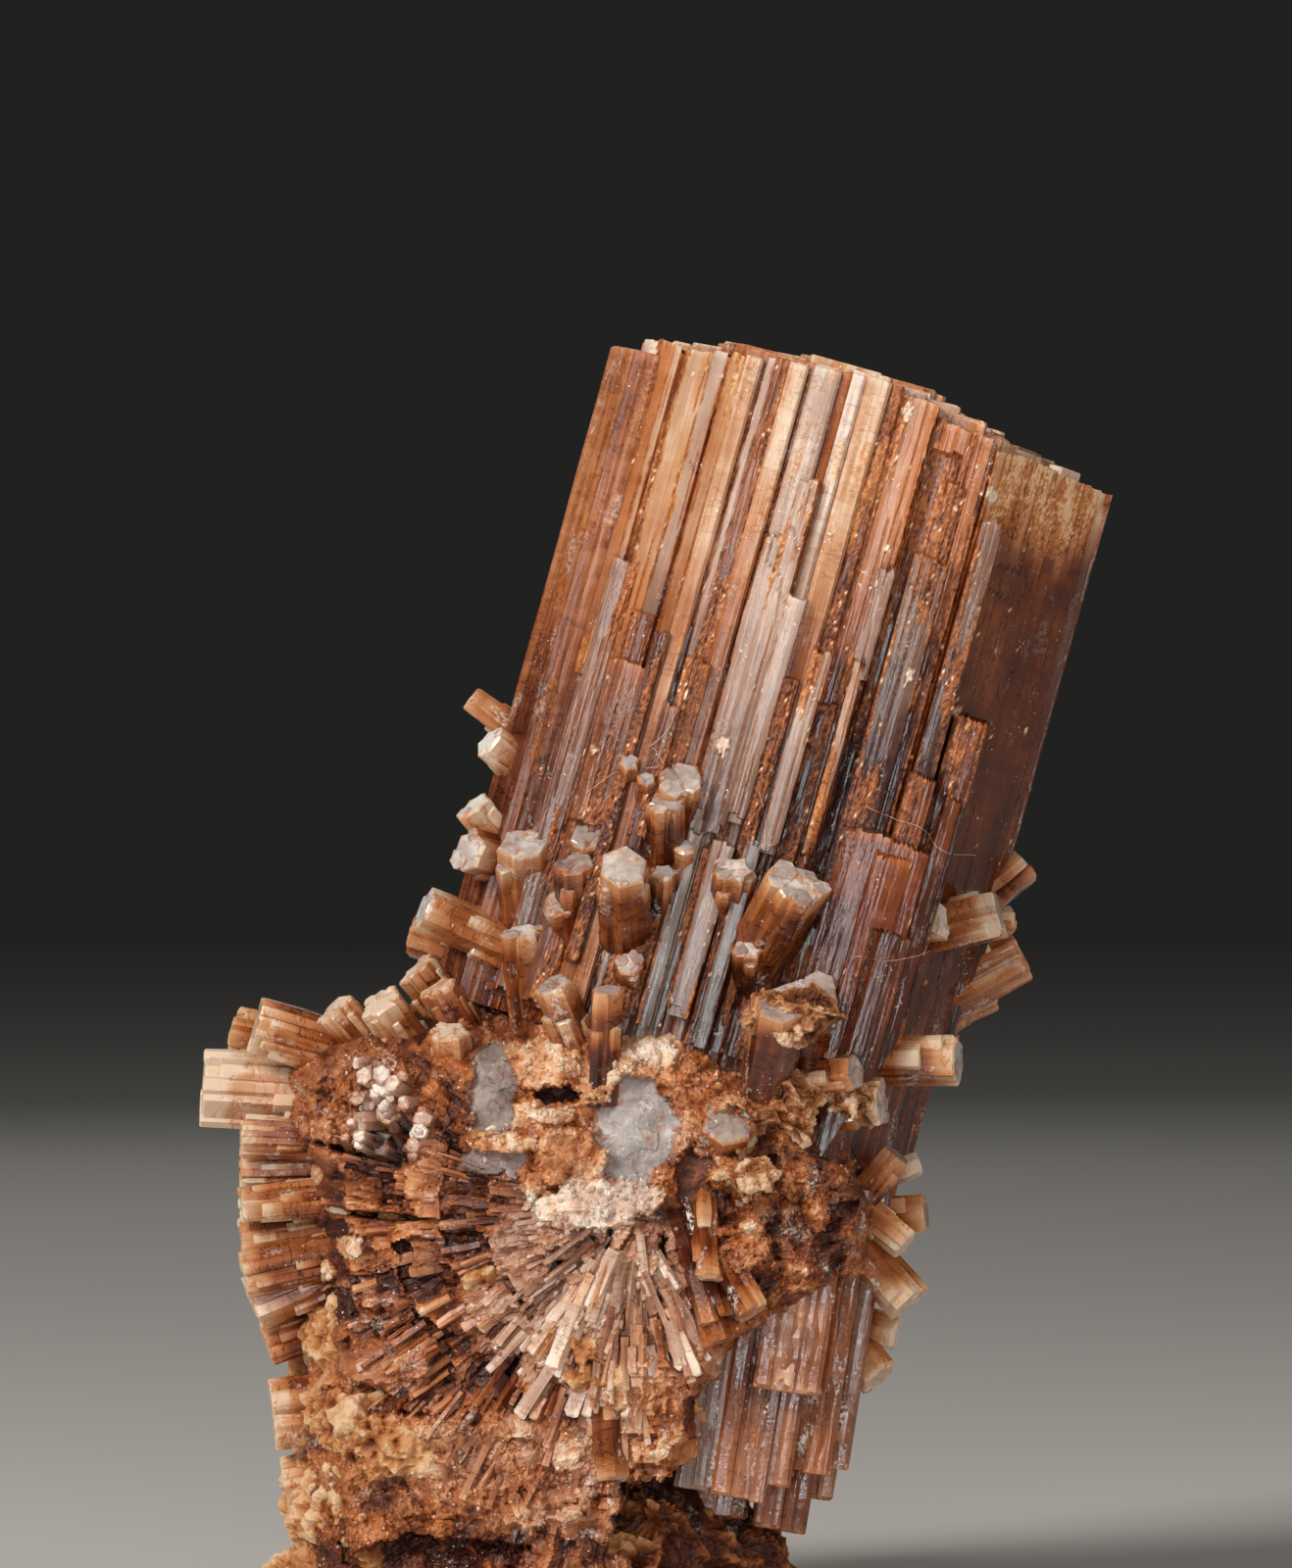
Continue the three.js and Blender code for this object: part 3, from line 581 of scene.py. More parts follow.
def rib_plan(left, right, front, slant_left, slant_right, depth):
    w = right - left
    dip = min(CHAMFER["depth"], 0.3 * w)
    low_left = dip if slant_left < 0.3 else depth
    low_right = dip if slant_right < 0.3 else depth
    plan = [(left, front + depth), (left, front + low_left), (left + w * slant_left, front)]
    plan += [(right - w * slant_right, front), (right, front + low_right), (right, front + depth)]
    return [p for i, p in enumerate(plan) if i == 0 or p != plan[i - 1]]


def front_column(left, right, front, top, foot, look, seed, depth=RIB_DEPTH):
    middle = (left + right) / 2
    steep = min(0.3 * (right - left), CHAMFER["front"] + 0.05) / (right - left)
    slant_left = CHAMFER["side"] if middle < MAIN_PLAN[1][0] else steep
    slant_right = CHAMFER["side"] if middle > MAIN_PLAN[2][0] else steep
    a = nearer(left, MAIN_VIEW["across"], front)
    b = nearer(right, MAIN_VIEW["across"], front)
    plan = striated(rib_plan(a, b, front, slant_left, slant_right, depth), 0.15, 0.018, seed)
    top = nearer(top, MAIN_VIEW["along"], front)
    return rod(plan, foot, top, MAIN_FRAME, look, seed, rows=12, rim=0.05, chips=0.3)


def shaded(look, seed, share=0.12):
    """The same look a little lighter or darker."""
    tone, cool, deep, turn = look
    change = between(-share, share, seed)
    cool *= between(0.3, 1.4, seed + 0.5)
    return tone + change, cool, deep + 0.7 * change, turn * between(0.7, 1.3, seed)


def main_crystal():
    crystals = []
    for i, (left, right, top, foot, inset) in enumerate(SLABS):
        front = [left] + [c[0] for c in FRONT_CORNERS if left < c[0] < right] + [right]
        back = [left] + [c[0] for c in BACK_CORNERS if left < c[0] < right] + [right]
        plan = [(x, line_at(x, FRONT_CORNERS) + inset) for x in front]
        plan += [(x, line_at(x, BACK_CORNERS) - INSET) for x in reversed(back)]
        plan = striated(plan, 0.6, 0.02, i)
        crystals.append(rod(plan, foot, top, MAIN_FRAME, (0.5, 0, 0.2, 8), i, end=(0.2, 0.5)))
    lower = [(RIGHT_THIRD, -5.2), (5.2, -5.2), (8.1, -0.6), (5.4, 3.4), (RIGHT_THIRD, 3.4)]
    lower = striated(lower, 0.4, 0.03, 9)
    crystals.append(rod(lower, RIGHT_FOOT, LEFT_FOOT, MAIN_FRAME, (0.4, 0, 0.2, 8), 9))
    for i, (left, right, proud, top, look) in enumerate(RIBS):
        middle = (left + right) / 2
        side = middle < MAIN_PLAN[1][0] or middle > MAIN_PLAN[2][0]
        front = line_at(middle, FRONT_CORNERS) - proud + SKIN["behind"]
        front += 1.1 * (right - left) if side else 0
        crystals.append(front_column(left, right, front, top - 0.06, line_at(left, RIB_FEET), look, 20 + i))
    for i, (left, right, front, top, foot, look) in enumerate(STEPS):
        foot = max(foot, line_at(left, RIB_FEET))
        crystals.append(front_column(
            left + 0.05, right - 0.05, front + SKIN["behind"], top - 0.1, foot, look, 200 + i))
    return crystals


# White chips and fine cracks on the front, as places across and along the crystal.
CHIPS = [
    (-1.59, -11.94, 0.28), (-0.5, -5.96, 0.34), (0.2, -6.88, 0.18), (1.94, -3.98, 0.2), (3.9, -8.0, 0.16),
    (-7.6, 0.42, 0.3), (4.9, -1.2, 0.2), (1.35, 0.72, 0.3), (5.75, -8.55, 0.22), (-5.9, -13.2, 0.22),
]
SCRATCHES = [
    [(-0.2, -2.9), (0.25, -3.2), (0.6, -2.6)], [(-0.1, -4.2), (0.3, -4.5)],
    [(-1.95, -4.6), (-1.3, -4.1), (-0.9, -4.9)], [(-1.9, -5.4), (-1.2, -5.9), (-1.0, -7.4)],
    [(-1.3, -6.2), (-0.7, -6.8)], [(-5.3, -2.9), (-4.9, -3.3)], [(-4.2, -4.0), (-3.9, -4.4)],
    [(2.9, -4.9), (3.9, -5.2)], [(5.7, -3.4), (6.3, -3.5)], [(5.7, -4.3), (6.4, -4.5)],
]
SKIN = {"across": 0.045, "along": 0.12, "behind": 0.10, "thick": 0.8, "jagged": 0.06}


def front_at(across, along):
    """The y of the main crystal's front, with its tone, coolness and stain, as seen from the front."""
    moved = across + SKIN["jagged"] * soft_noise(across * 1.1, along * 0.16, 71, 2)
    torn = 0.10 * soft_noise(across * 5, along * 2.5, 72, 3)
    base = np.interp(across, *zip(*FRONT_CORNERS))
    tone, cool, bias, out = (np.full(across.shape, v) for v in (0.15, 0.0, 0.3, -0.15))
    to_edge, rusty, glassy = (np.full(across.shape, v) for v in (9.0, 9.0, 0.0))
    columns = [(left, right, None, top, -99, look) for left, right, proud, top, look in RIBS] + STEPS
    for i, (left, right, front, top, foot, look) in enumerate(columns):
        own_tone, own_cool, deep, turn = look
        ends = 0.30 * soft_noise(across * 1.1, along * 0 + 3.3 * i, 73, 3)
        inside = (moved >= left) & (moved < right)
        if front is not None:
            inside &= (along <= top + ends) & (along >= foot + 3 * ends)
        share = np.clip(((top - along) / turn - 0.4) / 0.9, 0, 1)
        side = np.minimum(moved - left, right - moved)
        level = own_tone + share * share * (3 - 2 * share) * (deep - own_tone)
        bulge = 1 - (1 - np.clip(2 * side / (right - left), 0, 1)) ** 4
        tilt = 0.14 * (spread(300 + i) - 0.5) * (moved - (left + right) / 2)
        proud = (0.12 if RIBS[i][2] > -0.3 else 0.25) * RIBS[i][2] if front is None else base - front
        tone = np.where(inside, level + 0.15 * np.clip(1 - (top - along) / 0.3, 0, 1), tone)
        cool = np.where(inside, max(own_cool, 0), cool)
        smooth = -0.6 + 1.1 * np.clip((along + 3.2) / 0.8, 0, 1)
        bias = np.where(inside, smooth if own_cool < 0 else 0.46 - 0.85 * own_tone - 0.12 * own_cool, bias)
        glassy = np.where(inside, float(own_cool < 0), glassy)
        out = np.where(inside, proud + 0.055 * min(right - left, 1) * bulge + tilt, out)
        to_edge = np.where(inside, side, to_edge)
        rusty = np.where(inside, side / min(0.16, 0.22 * (right - left)), rusty)
    # Darker and more stained towards the lower end. The darkening is partly painted shade, for light that
    # falls off downwards.
    low = np.clip((-5 - along) / 9, 0, 1)
    rusty = np.clip(1 - rusty - 6 * torn, 0, 1) * (1 - glassy)
    patch = soft_noise(across * 2.4 + 7, along * 0.24, 74, 5) + bias + 0.10 * low
    patch = patch + (0.30 + 0.9 * soft_noise(np.floor(moved) * 3.1, along * 0.3, 92, 3)) * rusty + 0.8 * torn
    stain = np.clip((patch - 0.13) / 0.07, 0, 1)
    lane = np.floor(moved / 0.19)
    thread = (lane + 0.15 + 0.7 * hashed(lane, 0 * lane, 85)) * 0.19
    thread = np.abs(moved + 0.03 * soft_noise(lane * 5.1, along * 1.7, 86, 2) - thread)
    drawn = soft_noise(lane * 3.7, along * 0.22, 87, 2) - 0.07 + 0.5 * np.clip(bias, -0.2, 0.2)
    thread = np.clip(1.25 - thread / 0.04, 0, 1) * np.clip(drawn / 0.05, 0, 1)
    broken = np.clip(0.6 + 2.4 * soft_noise(across * 3, along * 0.9, 81, 3), 0, 1)
    groove = np.maximum(np.clip(1.2 - (to_edge + torn) / 0.05, 0, 1) * broken, 0.85 * thread)
    lines = hashed(np.floor(moved / 0.09), 0 * along, 76)
    lines_end = soft_noise(np.floor(moved / 0.09) * 3.7, along * 0.5, 77, 1)
    relief = 0.010 * (lines - 0.5) * np.clip(0.5 + 3 * lines_end, 0, 1)
    grains = 0.6 * facets(across, along * 0.6, 0.14, 78) + 0.5 * facets(across, along * 0.9, 0.075, 79)
    grains = grains + soft_noise(across * 2.5, along * 0.6, 80, 3)
    relief = relief + 0.045 * stain * grains
    cross = soft_noise(across * 1.2, along * 5, 88, 3)
    mottling = soft_noise(across * 1.6, along * 0.8, 89, 5)
    tone = tone + 0.04 * (lines - 0.5) + 0.13 * mottling + 0.05 * cross - 0.03
    tone = tone + stain * (0.36 * grains + (0.45 - 0.5 * glassy) * (0.52 - tone)) - 0.08 * low
    # Coolness, the painted lavender sheen, varies in soft patches, except on the glassy columns.
    cool = np.clip(cool + 0.6 * soft_noise(across * 1.3 + 3, along * 0.2, 90, 3) * (1 - glassy), 0, 2)
    scratch = np.clip(1 - from_lines(across, along, SCRATCHES) / 0.05, 0, 1)
    tone = tone - 0.38 * groove * np.clip(tone * 1.6, 0.3, 1) - 0.25 * scratch
    stain = np.maximum(stain, 0.9 * groove)
    # Painted glints: scattered pale specks, most of them in the stained grains, that stand for highlights.
    glint = hashed(np.floor(across / 0.09), np.floor(along / 0.12), 91)
    glint = (glint > 0.9985 - 0.016 * stain) & (to_edge < 9)
    tone, cool, stain = np.where(glint, 1.05, tone), np.where(glint, 0.7, cool), np.where(glint, 0, stain)
    out = out + relief - 0.030 * groove - 0.03 * scratch + 0.04 * glint
    for chip_across, chip_along, radius in CHIPS:
        far = np.hypot(across - chip_across, 0.8 * (along - chip_along))
        far += 0.3 * soft_noise(across * 4, along * 4, 82, 3)
        share = np.clip((0.7 * radius - far) / 0.05, 0, 1)
        tone, cool, stain = tone + share * (1.05 - tone), cool + share * (0.7 - cool), stain * (1 - share)
        out = out + share * (0.06 + 0.16 * facets(across, along, 0.1, 83))
    return base - out, tone, cool, stain


def grid_of(wide, high):
    return [(r * wide + c, r * wide + c + 1, (r + 1) * wide + c + 1, (r + 1) * wide + c)
            for r in range(high - 1) for c in range(wide - 1)]


def on_main(across, y, along):
    """A place in the main crystal's frame, for a spot seen on it."""
    return nearer(across, MAIN_VIEW["across"], y), y, nearer(along, MAIN_VIEW["along"], y)


def main_front(material):
    """The front of the main crystal as one closed sheet that follows its ribs."""
    across = np.linspace(-8.40, 8.86, round(17.26 / SKIN["across"]) + 1)
    top = np.full(across.shape, -1.5)
    for left, right, proud, rib_top, look in RIBS:
        top = np.where((across >= left) & (across < right), rib_top, top)
    top += 0.10 * soft_noise(across * 2.5, across * 0, 84, 3)
    foot = np.interp(across, *zip(*RIB_FEET)) + 0.5
    rows = round(24 / SKIN["along"])
    share = np.linspace(0, 1, rows + 1)
    along = (foot[None, :] + share[:, None] * (top - foot)[None, :]).ravel()
    wide = np.tile(across, rows + 1)
    y, tone, cool, stain = front_at(wide, along)
    count = len(across)
    points = list(zip(*on_main(wide, y, along)))
    faces = grid_of(count, rows + 1)
    start = len(points)
    back = np.interp(across, *zip(*FRONT_CORNERS)) + SKIN["thick"]
    for height in (foot, top):
        points += list(zip(*on_main(across, back, height)))
    low, high = start, start + count
    last = rows * count
    for c in range(count - 1):
        faces.append((low + c, low + c + 1, c + 1, c))
        faces.append((last + c, last + c + 1, high + c + 1, high + c))
        faces.append((low + c + 1, low + c, high + c, high + c + 1))
    side = [low, high] + [r * count for r in range(rows, -1, -1)]
    faces.append(side[::-1])
    faces.append([k + count - 1 for k in side])
    mesh = bpy.data.meshes.new("main_front")
    mesh.from_pydata([tuple(MAIN_FRAME @ Vector(p) * MM) for p in points], [], faces)
    behind = list(range(count)) + list(range(last, last + count))
    axis = MAIN_FRAME.to_3x3() @ Vector((0, 0, 1))
    sheet_attributes(mesh, axis, *(np.concatenate([v, v[behind]]) for v in (tone, cool, stain)))
    return finished("main_front", mesh, material)


def sheet_attributes(mesh, axis, tone, cool, stain):
    """What the material reads, for a sheet whose look is worked out point by point."""
    count = len(mesh.vertices)
    read = {"tone": tone, "cool": cool, "stain": stain, "deep": tone, "turn": np.ones(count),
            "tip": np.full(count, 99.0), "seed": np.zeros(count)}
    for name, values in read.items():
        mesh.attributes.new(name, "FLOAT", "POINT").data.foreach_set("value", values)
    axes = np.tile(axis, count) if len(axis) == 3 else axis.ravel()
    mesh.attributes.new("axis", "FLOAT_VECTOR", "POINT").data.foreach_set("vector", axes)


def finished(name, mesh, material):
    """A closed mesh as a piece of the part, its faces turned outward."""
    shell = bmesh.new()
    shell.from_mesh(mesh)
    bmesh.ops.recalc_face_normals(shell, faces=shell.faces)
    shell.to_mesh(mesh)
    shell.free()
    mesh.materials.append(material)
    mesh.shade_flat()
    return of_the_cluster(stood(name, mesh))


def hexagon(width, flatness=0.87):
    w = width / 2
    d = w * flatness
    return [(-w, 0), (-w / 2, -d), (w / 2, -d), (w, 0), (w / 2, d), (-w / 2, d)]


LAMELLA = {"count": 420, "length": (1.2, 4.5), "width": (0.25, 0.9), "edge": 0.75, "above": (-0.20, 0.22),
           "foot": -2.5, "core": 3.6}


def upper_end():
    """The ends of the thin twins that make up the crystal: along its sides, and across in its core."""
    corners = [Vector(c) for c in MAIN_PLAN]
    made = []
    for i in range(LAMELLA["count"]):
        seed = 4000 + i
        middle = Vector((between(-8.0, 8.4, seed), between(-6.8, 7.0, seed + 0.3)))
        sides = []
        for k, corner in enumerate(corners):
            along = (corners[(k + 1) % 6] - corner).normalized()
            sides.append(((middle - corner).dot(Vector((-along.y, along.x))), along.x, along.y))
        far, run_x, run_y = min(sides + [(LAMELLA["core"], 1, 0)])
        width = between(*LAMELLA["width"], seed + 0.5)
        half = min(between(*LAMELLA["length"], seed + 0.6) / 2, 0.45 * far + 0.6)
        if far < LAMELLA["edge"] + width / 2:
            continue
        plan = [(middle.x + run_x * half * a - run_y * width / 2 * b,
                 middle.y + run_y * half * a + run_x * width / 2 * b)
                for a, b in ((-1, -1), (1, -1), (1.06, 0), (1, 1), (-1, 1), (-1.06, 0))]
        top = line_at(middle.x, TOP_EDGE) + between(*LAMELLA["above"], seed + 0.7)
        look = (between(0.35, 0.85, seed + 0.8), between(0, 1, seed + 0.9), 0.4, 3)
        made.append(rod(plan, LAMELLA["foot"], top, MAIN_FRAME, look, seed,
                        rows=1, sway=0, rim=0.04, chips=0.4, end=(0.05, 0.2)))
    return made


BACK_RIB = {"width": (1.6, 2.8), "overlap": 0.92, "short_share": 0.3, "short_top": (-14, -1.5)}


def back_ribs():
    corners = [MAIN_PLAN[3], MAIN_PLAN[4], MAIN_PLAN[5], MAIN_PLAN[0]]
    made = []
    seed = 1
    for side in range(3):
        start_point = Vector(corners[side])
        along = Vector(corners[side + 1]) - start_point
        length = along.length
        along.normalize()
        out = Vector((along.y, -along.x))
        start = 0
        while start < length - 0.3:
            width = between(*BACK_RIB["width"], seed)
            middle = start_point + along * min(start + width / 2, length - 0.2)
            middle = middle + out * (between(-0.35, 0.12, seed + 0.3) - width * 0.4)
            middle.x = min(max(middle.x, MAIN_PLAN[0][0] + 1.2), MAIN_PLAN[3][0] - 0.75 * width)
            short = spread(seed + 0.6) < BACK_RIB["short_share"]
            whole = line_at(middle.x, TOP_EDGE) + between(-0.6, -0.2, seed + 0.7)
            top = between(*BACK_RIB["short_top"], seed + 0.7) if short else whole
            foot = RIGHT_FOOT + 12 if middle.x > 4 else LEFT_FOOT
            plan = [(x + middle.x, y + middle.y) for x, y in hexagon(width * 1.25, 0.95)]
            tone = between(0.42, 0.78, seed + 0.8)
            # Back ribs at the far right are made dark: painted shade of the side turned away from the key
            # lamp.
            if middle.x > 6.5:
                tone = 0.08
            look = (tone, between(0, tone, seed + 0.9), tone - between(0.05, 0.3, seed + 0.4), 12)
            plan = striated(plan, 0.16, 0.03, seed)
            made.append(rod(plan, foot, top, MAIN_FRAME, look, seed + 300, rows=12, rim=0.05, chips=0.3))
            for k in range(6):
                at = start + width * k / 6
                spot = start_point + along * min(at, length) + out * between(-0.15, 0.12, seed + k * 0.13)
                spot.x = min(spot.x, MAIN_PLAN[3][0] - 0.5)
                thin = [(x + spot.x, y + spot.y) for x, y in hexagon(between(0.3, 0.7, seed + k), 0.95)]
                thin_top = top - between(0, 0.25, seed + 0.2 * k)
                if spread(seed + 0.17 * k) < 0.35:
                    thin_top = between(-15, -1, seed + 0.19 * k)
                thin = striated(thin, 0.14, 0.015, seed + k)
                made.append(rod(thin, foot, thin_top, MAIN_FRAME, shaded(look, seed + 0.4 * k, 0.2),
                                seed + 340 + 0.3 * k, rows=10, sway=0.015, rim=0.04, chips=0.3))
            start += width * BACK_RIB["overlap"]
            seed += 1
    return made


MAIN_MATERIAL = crystal_material("ribbed_aragonite", streaks=3.4, contrast=0.42, rough=0.24, rust=0.8,
                                 clear=0.06, shine=0.25)
grown_together("main_crystal", main_crystal() + upper_end() + back_ribs(), MAIN_MATERIAL)
FRONT_MATERIAL = crystal_material("smooth_aragonite", streaks=2.4, contrast=0.14, rough=0.16, rust=0.0,
                                  through=0.3, shine=0.3, frost=0.1)
main_front(FRONT_MATERIAL)

# The lint.
# A few thin fibres that have caught on the front, as in the photo. They are dust and stay on the part.
# Each row: where it starts across and along the main crystal, its length, its heading and its curl.
LINT = [
    (-4.9, -13.4, 3.4, 20, 35), (-5.6, -14.6, 2.6, 70, -50), (-3.9, -12.6, 2.2, -30, 60),
    (0.6, -15.8, 3.0, 75, 30), (3.6, -12.6, 2.4, 5, -40), (5.9, -12.9, 2.0, -60, 45),
    (-2.9, -15.2, 2.4, 50, 80), (4.6, -17.6, 2.8, 10, 25),
]
LINT_RADIUS = 0.014


def lint(material):
    curve = bpy.data.curves.new("lint", "CURVE")
    curve.dimensions = "3D"
    curve.bevel_depth = LINT_RADIUS * MM
    curve.bevel_resolution = 1
    curve.use_fill_caps = True
    for i, (across, along, length, angle, curl) in enumerate(LINT):
        line = curve.splines.new("POLY")
        line.points.add(23)
        for k, point in enumerate(line.points):
            y = float(front_at(np.array([across]), np.array([along]))[0][0])
            y -= between(0.03, 0.12, i + 0.1 * k)
            point.co = (*(MAIN_FRAME @ Vector(on_main(across, y, along)) * MM), 1)
            angle += curl / 4 * between(-0.6, 1.2, 40 + i + 0.3 * k)
            across += length / 24 * math.cos(math.radians(angle))
            along += length / 24 * math.sin(math.radians(angle))
    mesh = evaluated(stood("lint_curve", curve))
    bpy.data.curves.remove(curve)
    mesh.name = "lint"
    mesh.materials.clear()
    return finished("lint", mesh, material)


lint(plain_material("lint", (0.62, 0.36, 0.26), 0.6))

# The belt of short crystals.
# Stubby six-sided crystals round the middle of the main one, grown into it: orange glassy sides and
# pale lavender end faces, the lavender a painted sheen of reflected light, some of them notched
# into the lobes of a twin.
# Each row: x and z of its end face as seen from the front, its y, its width, its heading in the
# front view, its lean to the viewer, its length, its flatness, its tone and its coolness.
BELT = [
    (-3.4, 30.0, -1.4, 1.3, 140, 25, 3.5, 0.87, 0.62, 0.2),
    (-3.9, 27.8, -1.6, 1.3, 130, 20, 4.0, 0.87, 0.58, 0.0),
    (-4.1, 26.2, -2.8, 1.5, 165, 45, 4.5, 0.87, 0.65, 0.2),
    (-2.2, 26.5, -4.0, 2.0, 95, 42, 4.0, 0.75, 0.6, 0.2),
    (-5.6, 24.3, -2.6, 1.7, 155, 15, 5.0, 0.8, 0.7, 0.1),
    (-1.0, 24.5, -6.6, 1.3, 115, 50, 3.5, 0.87, 0.45, 0.2),
    (0.0, 26.7, -6.6, 1.4, 90, 55, 3.0, 0.8, 0.4, 0.3), (-0.4, 25.8, -7.2, 1.5, 93, 35, 4.0, 0.7, 0.4, 0.2),
    (1.2, 25.7, -9.6, 1.75, 92, 52, 4.5, 1.0, 0.42, 0.25),
    (2.6, 27.9, -8.7, 1.3, 90, 42, 3.5, 0.75, 0.45, 0.3),
    (3.2, 28.7, -8.4, 1.6, 80, 55, 2.5, 0.75, 0.5, 0.1),
    (5.0, 25.6, -8.3, 1.4, 80, 50, 2.5, 0.8, 0.55, 0.1),
    (7.2, 25.1, -9.3, 2.1, 62, 42, 4.0, 0.8, 0.55, 0.15),
    (-2.2, 23.5, -4.9, 1.4, 95, 25, 3.5, 0.75, 0.52, 0.1),
    (-1.2, 21.7, -8.0, 1.5, 112, 25, 4.0, 0.8, 0.5, 0.1),
    (0.65, 21.5, -8.5, 1.3, 88, 20, 4.0, 0.7, 0.42, 0.0),
    (12.0, 23.9, -4.8, 1.5, 5, 28, 4.0, 0.8, 0.64, 0.15),
    (14.0, 24.1, -2.8, 1.9, 14, 10, 4.5, 0.75, 0.6, 0.1),
    (14.8, 25.8, 0.4, 1.4, 40, -10, 4.0, 0.8, 0.5, 0.1),
    (12.6, 19.1, -5.6, 1.95, 0, 14, 5.5, 0.8, 0.82, 0.1),
    (9.1, 18.7, -8.4, 1.4, 8, 30, 4.0, 0.8, 0.52, 0.0), (10.0, 17.6, -7.0, 1.7, 0, 20, 4.5, 0.75, 0.5, 0.0),
    (7.1, 21.3, -9.4, 3.2, 80, 38, 3.5, 0.45, 0.5, 0.0),
    (5.4, 15.2, -8.4, 1.4, 80, 60, 2.5, 0.87, 0.4, 0.0),
    (4.8, 17.0, -8.6, 2.0, 70, 60, 2.5, 0.8, 0.36, 0.0),
    (10.5, 15.9, -4.6, 1.3, 50, 10, 4.5, 0.8, 0.6, 0.0),
]
# The smallest crystals of the belt.
SMALL = [
    (1.4, 29.3, -7.8, 0.8, 90, 60, 2.5, 0.87, 0.5, 0.5),
    (2.0, 28.7, -8.0, 0.7, 80, 55, 2.5, 0.87, 0.5, 0.5),
    (3.3, 26.4, -7.9, 0.8, 85, 45, 2.5, 0.87, 0.5, 0.4),
    (2.6, 25.5, -8.2, 1.0, 85, 45, 2.5, 0.8, 0.45, 0.4), (6.1, 23.9, -8.2, 0.9, 90, 52, 2.5, 0.8, 0.5, 0.3),
    (5.5, 22.9, -8.2, 1.0, 90, 52, 2.5, 0.8, 0.5, 0.3),
    (0.25, 32.9, -3.2, 0.85, 100, 50, 2.0, 0.87, 0.55, 0.3),
    (1.4, 22.4, -8.0, 1.0, 90, 65, 2.0, 0.87, 0.45, 0.2),
    (14.4, 23.9, 1.4, 1.0, 0, -20, 3.5, 0.8, 0.8, 0.5), (11.3, 15.6, -2.4, 0.9, 20, 0, 4.5, 0.8, 0.8, 0.2),
]


def heading(angle, lean):
    a = math.radians(angle)
    b = math.radians(lean)
    return Vector((math.cos(b) * math.cos(a), -math.sin(b), math.cos(b) * math.sin(a)))


def pointing(tip, direction, roll):
    turn = Vector((0, 0, 1)).rotation_difference(Vector(direction).normalized())
    turn = turn @ Quaternion((0, 0, 1), math.radians(roll))
    return Matrix.Translation(tip) @ turn.to_matrix().to_4x4()


def lobed(plan, notch):
    """A six-sided plan with a notch in the middle of each side, as a twin has."""
    made = []
    for i, (x, y) in enumerate(plan):
        nx, ny = plan[(i + 1) % len(plan)]
        made.append((x, y))
        made.append(((x + nx) / 2 * notch, (y + ny) / 2 * notch))
    return made


def tiers(width, flatness, length, place, look, seed, end, count=4, share=(0.3, 0.55), lower=0.45):
    """Thinner crystals on the sides of a short one that end lower, or a little above it."""
    made = []
    for k in range(count):
        at = 2 * math.pi * (k + 0.7 * spread(seed + 1.3 * k)) / count
        thin = width * between(*share, seed + 0.31 * k)
        reach = 0.5 * width - 0.33 * thin
        plan = [(x + reach * math.cos(at), y + reach * flatness * math.sin(at))
                for x, y in hexagon(thin, between(0.7, 1, seed + 0.2 * k))]
        top = 0.04 if spread(seed + 0.77 * k) < 0.3 else -between(0.04, lower, seed + 0.7 * k) * length
        made.append(rod(striated(plan, 0.25, 0.01, seed + k), -length, top, place,
                        shaded(look, seed + 0.9 * k, 0.15), seed + 0.17 * k,
                        rows=6, sway=0.03, rim=0.04, chips=0.4, end=end))
    return made


# What the end faces add to tone and coolness paints a lavender sheen of reflected light on them.
def short_crystals(table, seed, painted_end_sheen=(-0.04, 1.5), notched=0.3, **small):
    made = []
    for i, (x, z, y, width, angle, lean, length, flatness, tone, cool) in enumerate(table):
        tip = Vector((nearer(x, VIEW["x"], y), y, nearer(z, VIEW["z"], y)))
        plan = hexagon(width * 0.94, flatness)
        if spread(seed + 1.9 * i) < notched:
            plan = lobed(plan, between(0.82, 0.95, seed + i))
        place = pointing(tip, heading(angle, lean), 60 * spread(i + 0.5))
        tone += between(-0.10, 0.14, seed + 3.3 * i)
        look = (tone + 0.14, 0.3 * cool, tone - 0.22, 0.8)
        made.append(rod(striated(plan, 0.3, 0.012, seed + i), -length, 0, place, look, seed + i,
                        rows=8, sway=0.03, rim=0.07, chips=0.3, end=painted_end_sheen))
        if width > 0.95:
            made += tiers(width, flatness, length, place, look, seed + 2.1 * i, painted_end_sheen, **small)
    return made


BELT_BACK = {"count": 12, "low": -21, "high": -12.5, "width": (1.1, 2.1), "stands": (1.2, 3.0), "root": 1.8}


def belt_back():
    made = []
    for i in range(BELT_BACK["count"]):
        seed = 500 + i
        turn = math.pi * (i + 0.6 * spread(seed)) / BELT_BACK["count"]
        along = between(BELT_BACK["low"], BELT_BACK["high"], seed + 0.1)
        foot = (MAIN_PLAN[3][0] * math.cos(turn), MAIN_PLAN[4][1] * math.sin(turn), along)
        direction = Vector((math.cos(turn), math.sin(turn), between(0.1, 0.9, seed + 0.3))).normalized()
        stands = between(*BELT_BACK["stands"], seed + 0.4)
        length = stands + BELT_BACK["root"]
        tip = MAIN_FRAME @ Vector(foot) + direction * (stands - INSET)
        place = pointing(tip, direction, 60 * spread(seed + 0.7))
        width = between(*BELT_BACK["width"], seed + 0.5)
        made += tiers(width, 0.8, length, place, (0.5, 0.1, 0.35, 1.6), seed, (0.3, 0.45))
        plan = striated(hexagon(width, between(0.7, 0.95, seed + 0.6)), 0.13, 0.022, seed)
        made.append(rod(plan, -length, 0, place, (between(0.4, 0.65, seed), 0.1, 0.35, 1.6), seed,
                        rows=8, sway=0.03, rim=0.07, chips=0.3, end=(0.18, 0.4)))
    return made


